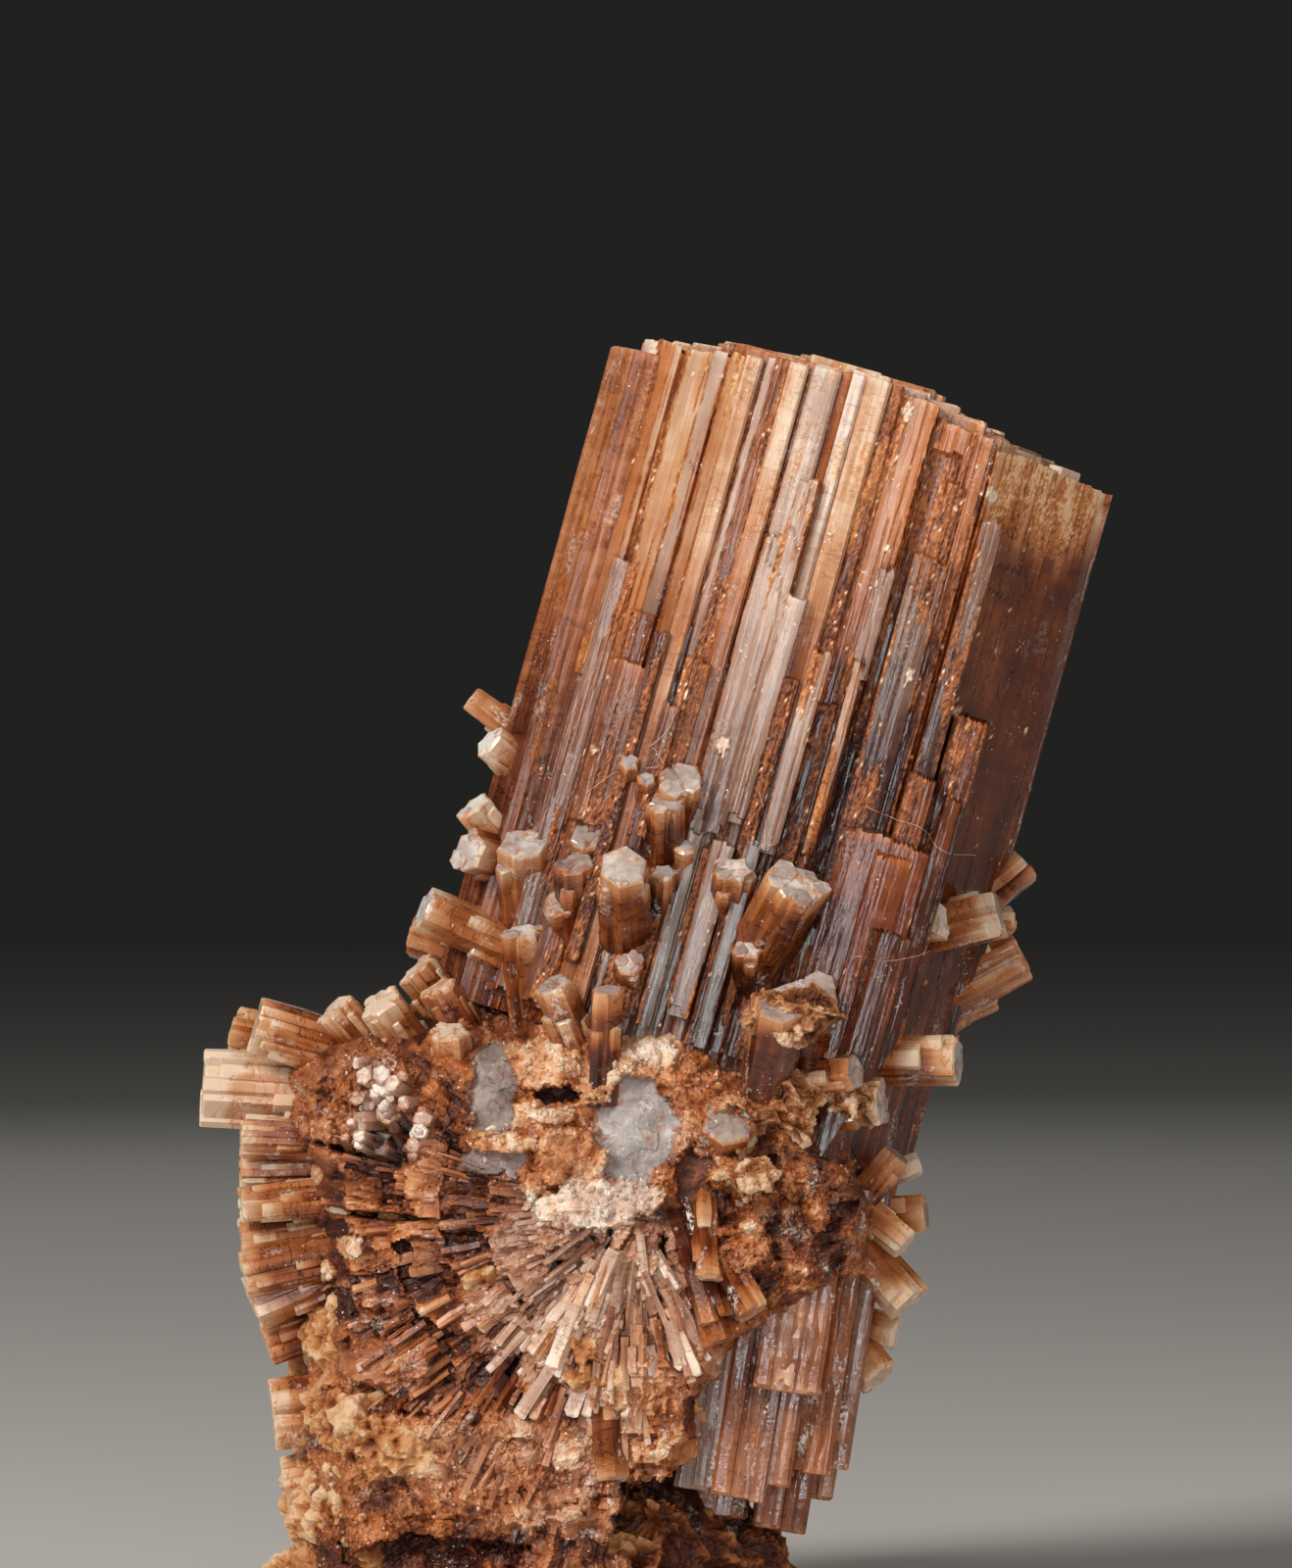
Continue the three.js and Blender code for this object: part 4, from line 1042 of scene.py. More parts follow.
BELT_MATERIAL = crystal_material("belt_aragonite", streaks=2.0, contrast=0.5, rough=0.10, rust=0.8,
                                 clear=0.12, shine=0.45, through=0.5, depth=0.35, frost=0.6)
grown_together("belt_crystals", short_crystals(BELT, 700) + short_crystals(SMALL, 760) + belt_back(),
               BELT_MATERIAL)

# The fan.
# A bundle of crystals that radiates to the left through all depths: amber and yellowish blocks with
# flat ends at its edge, stacked like bricks.
MIDDLE = Vector((1.3, 0, 15.8))
FAN_EDGE = [
    (-13.1, 18.2, -1.0, 2.5, 176, 5, 7.0, 0.7, 0.9, 0.3),
    (-12.1, 19.8, 1.2, 2.3, 168, -4, 6.0, 0.8, 0.5, 0.0),
    (-11.3, 20.3, -2.6, 1.9, 163, 8, 6.5, 0.87, 0.62, 0.0),
    (-8.6, 20.9, -3.4, 1.5, 130, 20, 5.0, 0.87, 0.5, 0.0),
    (-7.1, 21.1, -4.4, 1.5, 125, 28, 5.0, 0.87, 0.62, 0.1),
    (-5.9, 22.2, -2.2, 1.6, 130, 14, 6.0, 0.8, 0.5, 0.0),
    (-5.1, 21.6, -3.6, 1.3, 120, 20, 5.5, 0.8, 0.45, 0.0),
    (-4.7, 20.1, -6.2, 1.4, 95, 28, 5.0, 0.87, 0.5, 0.0),
    (-11.8, 16.5, -2.6, 1.3, 178, 8, 6.0, 0.87, 0.6, 0.1),
    (-11.8, 15.3, -1.6, 1.5, 181, 6, 6.0, 0.8, 0.66, 0.1),
    (-11.8, 14.2, -3.0, 1.4, 184, 10, 6.0, 0.75, 0.62, 0.1),
    (-11.8, 13.0, -2.0, 1.5, 188, 6, 6.0, 0.8, 0.68, 0.1),
    (-11.7, 11.8, -3.2, 1.5, 192, 8, 6.0, 0.75, 0.6, 0.1),
    (-11.4, 10.8, -2.2, 1.9, 203, 6, 6.0, 0.8, 0.66, 0.1),
    (-10.9, 9.4, -1.2, 1.6, 200, 4, 5.0, 0.8, 0.5, 0.0),
    (-10.7, 7.0, -1.6, 2.6, 186, 6, 5.0, 0.55, 0.66, 0.2),
    (-10.3, 4.6, -1.2, 2.0, 190, 2, 4.5, 0.8, 0.5, 0.0),
]
FAN = {"rings": 4, "reach": 12.6, "angle": 184, "opening": 46, "width": (1.9, 3.0), "length": 7.5,
       "foremost": -0.45, "highest": 0.42}


def fan():
    turn = Vector((1, 0, 0)).rotation_difference(heading(FAN["angle"], 0))
    made = []
    for ring in range(FAN["rings"]):
        count = 1 + 6 * ring
        for i in range(count):
            seed = 100 + ring * 40 + i
            lean = math.radians(FAN["opening"] * (ring + between(-0.25, 0.25, seed)) / FAN["rings"])
            turn_by = 2 * math.pi * (i + between(-0.25, 0.25, seed + 0.2)) / count
            direction = turn @ Vector((
                math.cos(lean), math.sin(lean) * math.cos(turn_by), math.sin(lean) * math.sin(turn_by)))
            if direction.y < FAN["foremost"] or direction.z > FAN["highest"]:
                continue
            reach = FAN["reach"] * (1 - 0.06 * ring) * between(0.86, 1, seed + 0.4)
            width = between(*FAN["width"], seed + 0.6)
            flatness = between(0.7, 1, seed + 0.8)
            roll = 360 * spread(seed + 0.9)
            tone = between(0.4, 0.72, seed + 0.1)
            look = (tone, 0.1, tone - 0.2, 2)
            place = pointing(MIDDLE + direction * reach, direction, roll)
            plan = striated(hexagon(width, flatness), 0.15, 0.03, seed)
            made.append(rod(plan, -FAN["length"], 0, place, look, seed,
                            rows=7, sway=0.04, rim=0.07, chips=0.3, end=(0.15, 0.1)))
            for k in range(7):
                thin = between(0.35, 0.8, seed + 0.31 * k)
                at = 2 * math.pi * (k + 0.4 * spread(seed + k)) / 7
                plan = [(x + 0.42 * width * math.cos(at), y + 0.42 * width * flatness * math.sin(at))
                        for x, y in hexagon(thin, 0.9)]
                plan = striated(plan, 0.15, 0.02, seed + k)
                top = between(-2.2, 0.0, seed + 0.7 * k)
                made.append(rod(plan, -FAN["length"], top, place, shaded(look, seed + 0.9 * k),
                                seed + 0.17 * k, sway=0.03, rim=0.05, chips=0.3, end=(0.15, 0.1)))
    return made


FAN_MATERIAL = crystal_material("fan_aragonite", streaks=1.8, contrast=0.55, rough=0.16, rust=0.6, clear=0.15,
                                through=0.5, depth=0.4, frost=0.5)
grown_together("left_fan", short_crystals(
    FAN_EDGE, 820, (0.12, 0.2), 0.2, count=14, share=(0.2, 0.42), lower=0.5) + fan(), FAN_MATERIAL)

# The broken front.
# The front of the fan has broken away. What is left is a rough face: red-brown splinters side by
# side on the left, pale crumbly fibres with long cracks below, and a sugary cream crust above.
CENTRE = (1.5, 14.4)
# Areas of the face, later ones over earlier ones: x and z as seen from the front, half width, half
# height, tone, coolness, share of fibres (the rest is grains), depth of the relief, and how far the
# area stands out.
AREAS = [
    (-5.7, 12.2, 4.8, 4.6, 0.28, 0.15, 1.0, 1.1, -0.1), (7.2, 13.8, 3.4, 3.6, 0.4, 0.1, 0.15, 1.2, -0.2),
    (0.0, 10.4, 4.1, 5.3, 0.64, 0.6, 0.75, 1.0, 0.0), (-8.7, 18.2, 2.8, 2.2, 0.45, 0.05, 0.2, 1.3, 0.1),
    (0.7, 17.4, 4.4, 3.4, 0.68, 0.05, 0.0, 0.9, 0.1), (0.0, 18.7, 2.9, 0.8, 0.86, 0.05, 0.0, 0.5, 0.25),
    (2.4, 19.3, 0.8, 0.5, 1.05, 0.5, 0.0, 0.4, 0.4), (-3.3, 18.0, 0.85, 1.5, 0.46, 2.0, 0.0, 0.14, -0.2),
    (-3.3, 15.7, 1.1, 0.5, 0.44, 2.0, 0.0, 0.12, -0.1), (1.6, 16.7, 1.35, 1.8, 0.66, 1.9, 0.0, 0.18, -0.15),
    (-0.7, 15.7, 1.1, 1.0, 0.88, 0.2, 0.0, 0.7, 0.5), (-3.0, 16.35, 1.2, 0.3, 0.86, 0.05, 0.0, 0.6, 0.4),
    (-1.3, 17.3, 0.9, 0.25, 0.95, 0.15, 0.0, 0.5, 0.4), (-1.2, 17.95, 0.8, 0.35, 0.06, 0.0, 0.0, 0.5, -0.9),
    (-6.8, 16.3, 0.9, 0.85, 0.08, 0.0, 0.0, 0.8, -1.0), (-0.1, 14.1, 1.9, 0.85, 1.08, 0.8, 0.0, 0.3, 0.4),
    (1.5, 14.4, 1.2, 0.6, 1.0, 0.9, 0.0, 0.3, 0.4), (-7.3, 4.6, 3.8, 3.4, 0.51, 0.0, 0.0, 0.8, 0.1),
    (-2.7, 5.3, 3.2, 2.2, 0.66, 0.3, 0.15, 0.8, 0.25), (-4.3, 7.9, 2.6, 1.2, 0.34, 0.0, 0.9, 1.1, -0.1),
    (-7.0, 8.8, 1.6, 0.7, 0.56, 0.05, 1.0, 0.3, 0.45), (-9.2, 11.8, 0.6, 0.5, 0.95, 0.15, 0.0, 0.9, 0.35),
    (-8.1, 12.7, 0.5, 0.35, 0.95, 0.15, 0.0, 0.9, 0.3), (3.8, 14.2, 0.8, 2.3, 0.27, 0.15, 0.0, 0.3, -0.3),
    (4.7, 17.0, 1.0, 1.1, 0.6, 0.0, 0.0, 1.3, 0.5), (5.3, 15.2, 0.9, 0.6, 0.62, 0.0, 0.0, 1.2, 0.6),
    (5.3, 12.8, 1.0, 0.9, 0.68, 0.05, 0.0, 1.1, 0.5), (3.3, 7.8, 1.7, 2.2, 0.52, 0.2, 0.8, 1.0, 0.0),
    # The two areas on the next line are painted shadow: dark, sunken patches where shade falls under the
    # overhangs.
    (-5.3, 1.9, 3.0, 0.9, 0.16, 0.0, 0.0, 1.0, -1.0), (4.2, 3.0, 3.3, 2.2, 0.0, 0.0, 0.0, 0.8, -3.4),
]
CRACKS = [
    [(0.8, 13.3), (0.2, 11.6), (-0.3, 9.5), (-0.9, 7.0)], [(-2.2, 9.7), (-2.9, 7.6)],
    [(1.5, 10.6), (1.0, 7.4)], [(2.5, 13.2), (2.6, 11.0), (2.2, 8.6)], [(-1.0, 12.2), (-2.0, 10.4)],
    [(-9.5, 16.2), (-6.0, 15.6)], [(-9.0, 13.9), (-5.2, 13.6)],
]
FACE = {"left": [(0, -9.0), (5, -9.3), (7.5, -9.2), (9, -8.9), (11, -8.8), (15.5, -9.0), (17, -9.9),
                 (19, -9.6), (20.2, -8.6), (21, -5.5)],
        "right": [(0, 6), (3.5, 5), (5, 3.6), (8, 4.2), (10, 5.2), (11.2, 7.4), (12.2, 9.0), (13.8, 9.6),
                  (15.5, 9.2), (17.2, 7.8), (18.6, 5.4), (20, 3.8), (21, 3.5)],
        "top": [(-9, 20), (-5, 20.4), (-3.5, 20.0), (0, 20.9), (3, 20.6), (5, 19.0)],
        "height": 21.0, "hem": 0.7, "step": 0.066}


def face_at(x, z):
    """The y of the broken front at x and z, with its tone and coolness."""
    dx, dz = x - CENTRE[0], z - CENTRE[1]
    base = -7.8 + 0.16 * np.maximum(0, np.hypot(np.minimum(dx, 0), 0.55 * dz) - 3) ** 1.35
    base += 0.5 * np.maximum(0, -9.0 - x) ** 1.6 + 0.2 * np.maximum(0, z - 18.3) ** 1.5
    edge = np.minimum(x - np.interp(z, *zip(*FACE["left"])), np.interp(z, *zip(*FACE["right"])) - x)
    edge = np.minimum(edge, np.interp(x, *zip(*FACE["top"])) - z) + 0.5 * soft_noise(x * 1.3, z * 1.3, 3, 3)
    base += 1.6 * np.maximum(0, 1.2 - edge) ** 2
    base -= 0.5 * soft_noise(x * 0.45, z * 0.45, 5, 3)
    wx = dx + 0.45 * soft_noise(x * 0.7, z * 0.7, 11, 3)
    wz = dz + 0.45 * soft_noise(x * 0.7, z * 0.7, 12, 3)
    reach, turn = np.hypot(wx, wz), np.arctan2(wz, wx) + math.pi
    bars = 0.42 * fibres(reach, turn, 1.0, 3.2, 21) + 0.26 * fibres(reach, turn, 0.36, 1.5, 22)
    bars += 0.13 * fibres(reach, turn, 0.17, 0.7, 23)
    bars += 0.3 * soft_noise(x * 1.1, z * 1.1, 31, 3)
    grains = 0.30 * facets(wx, wz, 0.85, 41) + 0.17 * facets(wx + 3, wz, 0.4, 42)
    grains += 0.08 * facets(wx, wz + 5, 0.2, 43)
    grains += 0.40 * soft_noise(x * 0.9, z * 0.9, 32, 4)
    seen_x = VIEW["x"] + (x - VIEW["x"]) * VIEW["distance"] / (VIEW["distance"] - 7)
    seen_z = VIEW["z"] + (z - VIEW["z"]) * VIEW["distance"] / (VIEW["distance"] - 7)
    ragged = 0.45 * soft_noise(x * 1.6, z * 1.6, 51, 4)
    tone, cool, fibrous, depth, out = (np.full(x.shape, v) for v in (0.48, 0.05, 0.7, 1.0, 0.0))
    for ax, az, half_width, half_height, *values in AREAS:
        far = np.hypot((seen_x - ax) / half_width, (seen_z - az) / half_height)
        far += ragged / max(0.5, min(half_width, half_height)) ** 0.5
        share = np.clip((1.08 - far) / 0.16, 0, 1)
        tone, cool, fibrous, depth, out = (
            old + share * (new - old) for old, new in zip((tone, cool, fibrous, depth, out), values))
    relief = fibrous * bars + (1 - fibrous) * grains
    crack = from_lines(seen_x + 0.25 * soft_noise(x * 2, z * 2, 61, 2), seen_z, CRACKS)
    crack = np.clip(1 - crack / 0.16, 0, 1)
    tone = tone + 1.15 * relief * np.minimum(depth, 1) - 0.6 * crack - 0.13
    cool = np.clip(cool + 0.5 * soft_noise(x * 0.8, z * 0.8, 62, 4), 0, 2)
    grainy = (1 - fibrous) * (depth > 0.25) * (tone > 0.25) * (z > 0.3)
    return np.minimum(base - depth * relief - out + 1.3 * crack, -0.4), tone, cool, grainy, fibrous


def broken_front(material):
    zs = np.linspace(0.0, FACE["height"], round(FACE["height"] / FACE["step"]) + 1)
    across = np.linspace(0, 1, round(16.5 / FACE["step"]) + 1)
    left = np.interp(zs, *zip(*FACE["left"])) - FACE["hem"]
    right = np.interp(zs, *zip(*FACE["right"])) + FACE["hem"]
    x = (left[:, None] + (right - left)[:, None] * across[None, :]).ravel()
    z = np.repeat(zs, len(across))
    y, tone, cool, grainy, fibrous = face_at(x, z)
    wide, high = len(across), len(zs)
    points = [(a * MM, b * MM, c * MM) for a, b, c in zip(x, y, z)]
    faces = grid_of(wide, high)
    border = list(range(wide)) + [r * wide + wide - 1 for r in range(1, high)]
    border += [(high - 1) * wide + c for c in range(wide - 2, -1, -1)]
    border += [r * wide for r in range(high - 2, 0, -1)]
    start = len(points)
    points.extend((x[k] * MM, 0.0, z[k] * MM) for k in border)
    for k, here in enumerate(border):
        n = (k + 1) % len(border)
        faces.append((border[n], here, start + k, start + n))
    faces.append(range(start + len(border) - 1, start - 1, -1))
    mesh = bpy.data.meshes.new("broken_front")
    mesh.from_pydata(points, [], faces)
    tones = np.concatenate([tone, tone[border]])
    cools = np.concatenate([cool, cool[border]])
    spots = np.array(points) / MM
    rays = spots - np.array([CENTRE[0], -3.0, CENTRE[1]])
    rays /= np.linalg.norm(rays, axis=1)[:, None]
    rays[np.concatenate([fibrous, fibrous[border]]) < 0.3] = (0, 1, 0)
    sheet_attributes(mesh, rays, tones, cools, np.clip(0.55 - tones, 0, 0.4))
    grainy = np.concatenate([grainy, 0 * grainy[border]])
    mesh.attributes.new("grainy", "FLOAT", "POINT").data.foreach_set("value", grainy)
    return finished("broken_front", mesh, material)


FACE_MATERIAL = crystal_material("broken_aragonite", streaks=2.0, contrast=0.40, rough=0.42, rust=0.5,
                                 through=0.12, relief=0.06, frost=0.5)
FACE_BODY = broken_front(FACE_MATERIAL)

# The sugar grains.
# Small clear and pale grains that sit on the cream crust and on the foot, where the broken front isn't
# fibrous. They grew there with the crust.
GRAINS = {"Grains per square metre": 14e6, "Smallest": 0.05 * MM, "Largest": 0.15 * MM}


def grain_scatter(material):
    """Strews grains over a face by its attribute grainy."""
    tree = bpy.data.node_groups.new("grain_scatter", "GeometryNodeTree")
    tree.interface.new_socket("Geometry", in_out="INPUT", socket_type="NodeSocketGeometry")
    for name in GRAINS:
        tree.interface.new_socket(name, in_out="INPUT", socket_type="NodeSocketFloat")
    tree.interface.new_socket("Geometry", in_out="OUTPUT", socket_type="NodeSocketGeometry")
    given = add(tree, "NodeGroupInput").outputs
    result = add(tree, "NodeGroupOutput").inputs
    grainy = add(tree, "GeometryNodeInputNamedAttribute", data_type="FLOAT")
    grainy.inputs["Name"].default_value = "grainy"
    strewn = add(tree, "GeometryNodeDistributePointsOnFaces")
    strewn.inputs["Seed"].default_value = 4
    link(tree, given["Geometry"], strewn.inputs["Mesh"])
    link(tree, maths(tree, "MULTIPLY", grainy.outputs["Attribute"], given["Grains per square metre"]),
         strewn.inputs["Density"])
    grain = add(tree, "GeometryNodeMeshIcoSphere")
    set_inputs(grain, {"Subdivisions": 1, "Radius": 1})
    turn = add(tree, "FunctionNodeRandomValue", data_type="FLOAT_VECTOR")
    set_inputs(turn, {"Max": (6.28, 6.28, 6.28), "Seed": 5})
    size = add(tree, "FunctionNodeRandomValue", data_type="FLOAT")
    link(tree, given["Smallest"], size.inputs[2])
    link(tree, given["Largest"], size.inputs[3])
    size.inputs["Seed"].default_value = 6
    shape = add(tree, "FunctionNodeRandomValue", data_type="FLOAT_VECTOR")
    set_inputs(shape, {"Min": (0.6, 0.6, 0.6), "Max": (1.5, 1.1, 1.0), "Seed": 7})
    placed = add(tree, "GeometryNodeInstanceOnPoints")
    link(tree, strewn.outputs["Points"], placed.inputs["Points"])
    link(tree, grain.outputs["Mesh"], placed.inputs["Instance"])
    link(tree, turn.outputs[0], placed.inputs["Rotation"])
    link(tree, vectors(tree, "SCALE", shape.outputs[0], scale=size.outputs[1]), placed.inputs["Scale"])
    whole = add(tree, "GeometryNodeRealizeInstances")
    link(tree, placed.outputs["Instances"], whole.inputs["Geometry"])
    painted = add(tree, "GeometryNodeSetMaterial")
    painted.inputs["Material"].default_value = material
    link(tree, whole.outputs["Geometry"], painted.inputs["Geometry"])
    link(tree, painted.outputs["Geometry"], result["Geometry"])
    return tree


def sugar_grains(material):
    bed = stood("grain_bed", FACE_BODY.data.copy())
    strew = bed.modifiers.new("grains", "NODES")
    strew.node_group = grain_scatter(material)
    for socket in strew.node_group.interface.items_tree:
        if socket.name in GRAINS:
            strew[socket.identifier] = GRAINS[socket.name]
    mesh = evaluated(bed)
    bed.modifiers.remove(strew)
    bpy.data.meshes.remove(bed.data)
    mesh.name = "sugar_grains"
    mesh.materials.clear()
    paler = np.zeros(len(mesh.vertices))
    mesh.attributes["tone"].data.foreach_get("value", paler)
    mesh.attributes["tone"].data.foreach_set("value", paler + 0.18)
    return finished("sugar_grains", mesh, material)


GRAIN_MATERIAL = crystal_material("sugar_aragonite", streaks=2.0, contrast=0.5, rough=0.24, rust=0.3,
                                  clear=0.12)
sugar_grains(GRAIN_MATERIAL)

# The splinters.
# Thin bars that still stand out of the broken front, long cream blades below its white lump, and a
# rosette of small pale crystals beside it.
SPLINTERS = {"count": 420, "angle": (160, 290), "reach": (3.4, 11.4), "lean": (-8, 8), "width": (0.10, 0.34),
             "length": (0.8, 2.2), "proud": (-0.15, 0.12)}
BLADES = {"count": 84, "angle": (228, 304), "reach": (0.8, 5.0), "width": (0.16, 0.50), "length": (1.2, 4.0),
          "proud": (-0.38, 0.04)}
ROSETTE = {"count": 46, "x": (-8.2, -5.4), "z": (16.2, 19.2), "width": (0.3, 0.75)}


def bar(width, flatness):
    w = width / 2
    d = w * flatness
    return [(-w, -d), (w, -d), (w, d), (-w, d)]


def on_face(x, z):
    """The y of one spot of the broken front, with its tone and coolness."""
    return (float(v[0]) for v in face_at(np.array([x]), np.array([z]))[:3])


def from_centre(angle, reach):
    angle = math.radians(angle)
    return CENTRE[0] + reach * math.cos(angle), CENTRE[1] + reach * math.sin(angle)


def thin_bars():
    made = []
    for i in range(SPLINTERS["count"]):
        seed = 1000 + i
        angle = between(*SPLINTERS["angle"], seed)
        direction = heading(angle + between(-6, 6, seed + 0.9), between(*SPLINTERS["lean"], seed + 0.4))
        x, z = from_centre(angle, between(*SPLINTERS["reach"], seed + 0.2))
        if x < np.interp(z, *zip(*FACE["left"])) + 0.6 or z < 2.5 or (x > 0 and z < 6):
            continue
        y, tone, cool = on_face(x, z)
        if tone > 0.6 and spread(seed + 0.15) < 0.6:
            continue
        tip = Vector((x, y - between(*SPLINTERS["proud"], seed + 0.5), z))
        plan = bar(between(*SPLINTERS["width"], seed + 0.7), between(0.5, 1, seed))
        tone = min(max(tone, 0.2), 0.7) + between(-0.12, 0.15, seed + 0.1)
        made.append(rod(striated(plan, 0.15, 0.02, seed), -between(*SPLINTERS["length"], seed + 0.6), 0,
                        pointing(tip, direction, 360 * spread(seed + 0.8)), (tone, cool, tone - 0.1, 1),
                        seed, rows=4, sway=0.03, rim=0.03, chips=0.4, end=(0.12, 0.1)))
    return made


def blades():
    made = []
    for i in range(BLADES["count"]):
        seed = 5000 + i
        angle = between(*BLADES["angle"], seed)
        length = between(*BLADES["length"], seed + 0.2)
        direction = heading(angle + between(-7, 7, seed + 0.6), between(-6, 6, seed + 0.8))
        x, z = from_centre(angle, between(*BLADES["reach"], seed + 0.4) + length / 2)
        tip_x, tip_z = x + direction.x * length / 2, z + direction.z * length / 2
        if tip_x > np.interp(tip_z, *zip(*FACE["right"])) - 0.8:
            continue
        y = next(on_face(x, z)) - between(*BLADES["proud"], seed + 0.1)
        tip = Vector((x, y, z)) + direction * length / 2
        tone = between(0.58, 1.02, seed + 0.3)
        plan = bar(between(*BLADES["width"], seed + 0.5), between(0.5, 1, seed + 0.7))
        made.append(rod(striated(plan, 0.12, 0.03, seed), -length, 0,
                        pointing(tip, direction, between(-25, 25, seed + 0.9)),
                        (tone, between(0.3, 1.0, seed + 0.15), tone - 0.1, 1), seed,
                        rows=5, sway=0.03, rim=0.09, chips=0.7, end=(-0.1, 0.1)))
    return made


def rosette():
    made = []
    for i in range(ROSETTE["count"]):
        seed = 3000 + i
        x = between(*ROSETTE["x"], seed)
        z = between(*ROSETTE["z"], seed + 0.3)
        y = next(on_face(x, z)) - between(0.15, 0.6, seed + 0.7)
        direction = heading(between(90, 200, seed + 0.4), between(35, 80, seed + 0.6))
        plan = hexagon(between(*ROSETTE["width"], seed + 0.5), between(0.75, 1, seed))
        pale = spread(seed + 0.8)
        made.append(rod(striated(plan, 0.13, 0.02, seed), -1.8, 0,
                        pointing(Vector((x, y, z)), direction, 60 * spread(seed)),
                        (0.42 + 0.24 * pale, 0.5 + 0.9 * pale, 0.3, 0.6), seed,
                        rows=4, sway=0.03, rim=0.05, chips=0.4, end=(0.15, 0.3)))
    return made


SPLINTER_MATERIAL = crystal_material("splinter_aragonite", streaks=3.4, contrast=0.5, rough=0.34, rust=0.6,
                                     through=0.3)
grown_together("splinters", thin_bars() + blades() + rosette(), SPLINTER_MATERIAL)

# The lower end of the main crystal and the sprays.
# The main crystal comes out again at the bottom as flat-ended striated columns, greyish and clear.
# Small yellowish crystals point out of the right side and down.
LOWER_TILT = 9
LOWER = [
    (5.6, 7.85, -6.9, 7.8, 12.6, 3.0, 3.0, (0.5, 0.35, 0.4, 3)),
    (2.9, 4.25, -6.0, 4.5, 15, 3.5, 1.2, (0.36, 1.2, 0.18, 4)),
    (4.15, 6.0, -6.3, 4.2, 15, 4.0, 1.4, (0.44, 0.4, 0.2, 3)),
    (5.95, 6.85, -6.0, 4.6, 15, 4.0, 1.4, (0.42, 0.2, 0.22, 3)),
    (6.75, 8.2, -5.4, 5.1, 15, 4.0, 1.6, (0.38, 0.0, 0.26, 4)),
    (7.9, 8.85, -4.4, 5.2, 15, 4.0, 1.6, (0.4, 0.3, 0.3, 4)),
    (5.6, 7.4, -2.9, 3.1, 15, 3.2, 1.4, (0.42, 0.0, 0.26, 4)),
    (3.2, 5.4, -2.4, 3.6, 14, 3.4, 1.4, (0.34, 0.0, 0.2, 4)),
    (6.6, 8.3, 0.0, 4.2, 15, 3.2, 1.6, (0.4, 0.0, 0.3, 4)),
]
SPRAYS = [
    (11.5, 13.9, -3.0, 1.6, 5, 10, 5.0, 0.8, 0.5, 0.0),
    (10.8, 12.8, -4.8, 1.3, -40, 15, 5.0, 0.8, 0.75, 0.2),
    (10.9, 10.8, -4.4, 1.9, -48, 15, 6.5, 0.75, 0.7, 0.1),
    (10.5, 9.8, -3.0, 1.3, -15, 10, 4.5, 0.8, 0.65, 0.1),
    (9.9, 8.3, -3.4, 1.7, -50, 20, 5.5, 0.8, 0.6, 0.2), (4.5, 9.5, -8.0, 1.4, -72, 12, 5.5, 0.75, 0.4, 0.0),
    (5.6, 10.5, -8.2, 1.3, -58, 20, 5.5, 0.8, 0.5, 0.1),
    (4.1, 11.6, -8.2, 1.0, -88, 20, 4.0, 0.8, 0.4, 0.0), (0.8, 4.8, -7.4, 1.4, -85, 8, 4.5, 0.8, 0.5, 0.3),
    (2.0, 5.9, -7.0, 1.2, -80, 30, 4.0, 0.8, 0.35, 0.0),
    (2.2, 5.0, -6.6, 1.0, -80, 30, 4.0, 0.8, 0.35, 0.0),
]


def lower_end():
    lean = math.radians(LOWER_TILT)
    made = []
    for i, (left, right, front, low, high, depth, slats, look) in enumerate(LOWER):
        width = nearer(right, VIEW["x"], front) - nearer(left, VIEW["x"], front)
        middle = nearer((left + right) / 2, VIEW["x"], front)
        foot = nearer(low, VIEW["z"], front)
        length = (high - foot) / math.cos(lean)
        turn = Matrix.Rotation(lean + math.pi, 4, "Y")
        place = Matrix.Translation((middle, front + 0.02 * i, foot)) @ turn
        plan = rib_plan(-width / 2, width / 2, 0, 0.15, 0.15, depth)
        made.append(rod(striated(plan, 0.15, 0.03, 880 + i), -length, 0, place, look, 880 + i,
                        rows=8, rim=0.05, chips=0.3))
        x = -width / 2
        k = 0
        while x < width / 2 - 0.15:
            step = slats * between(0.12, 0.75, 900 + 3 * i + k)
            front = -between(0, 0.05, 910 + 2.1 * i + k)
            plan = rib_plan(x, min(x + step, width / 2), front, 0.15, 0.15, 0.8)
            made.append(rod(striated(plan, 0.15, 0.02, 890 + k), -length,
                            -between(-0.06, 0.25, 930 + 1.7 * i + k), place, shaded(look, 940 + i + k, 0.15),
                            960 + 5 * i + k, rows=8, rim=0.04, chips=0.3))
            x += step * 0.95
            k += 1
    return made


BACK_BUNDLES = [
    {"tip": (-2.6, 12.0, 13.4), "direction": (-0.28, 1, -0.10), "radius": 2.7, "columns": 9, "length": 9,
     "seed": 600},
    {"tip": (7.6, 10.2, 12.0), "direction": (0.55, 0.85, -0.18), "radius": 2.1, "columns": 7, "length": 8,
     "seed": 640},
]


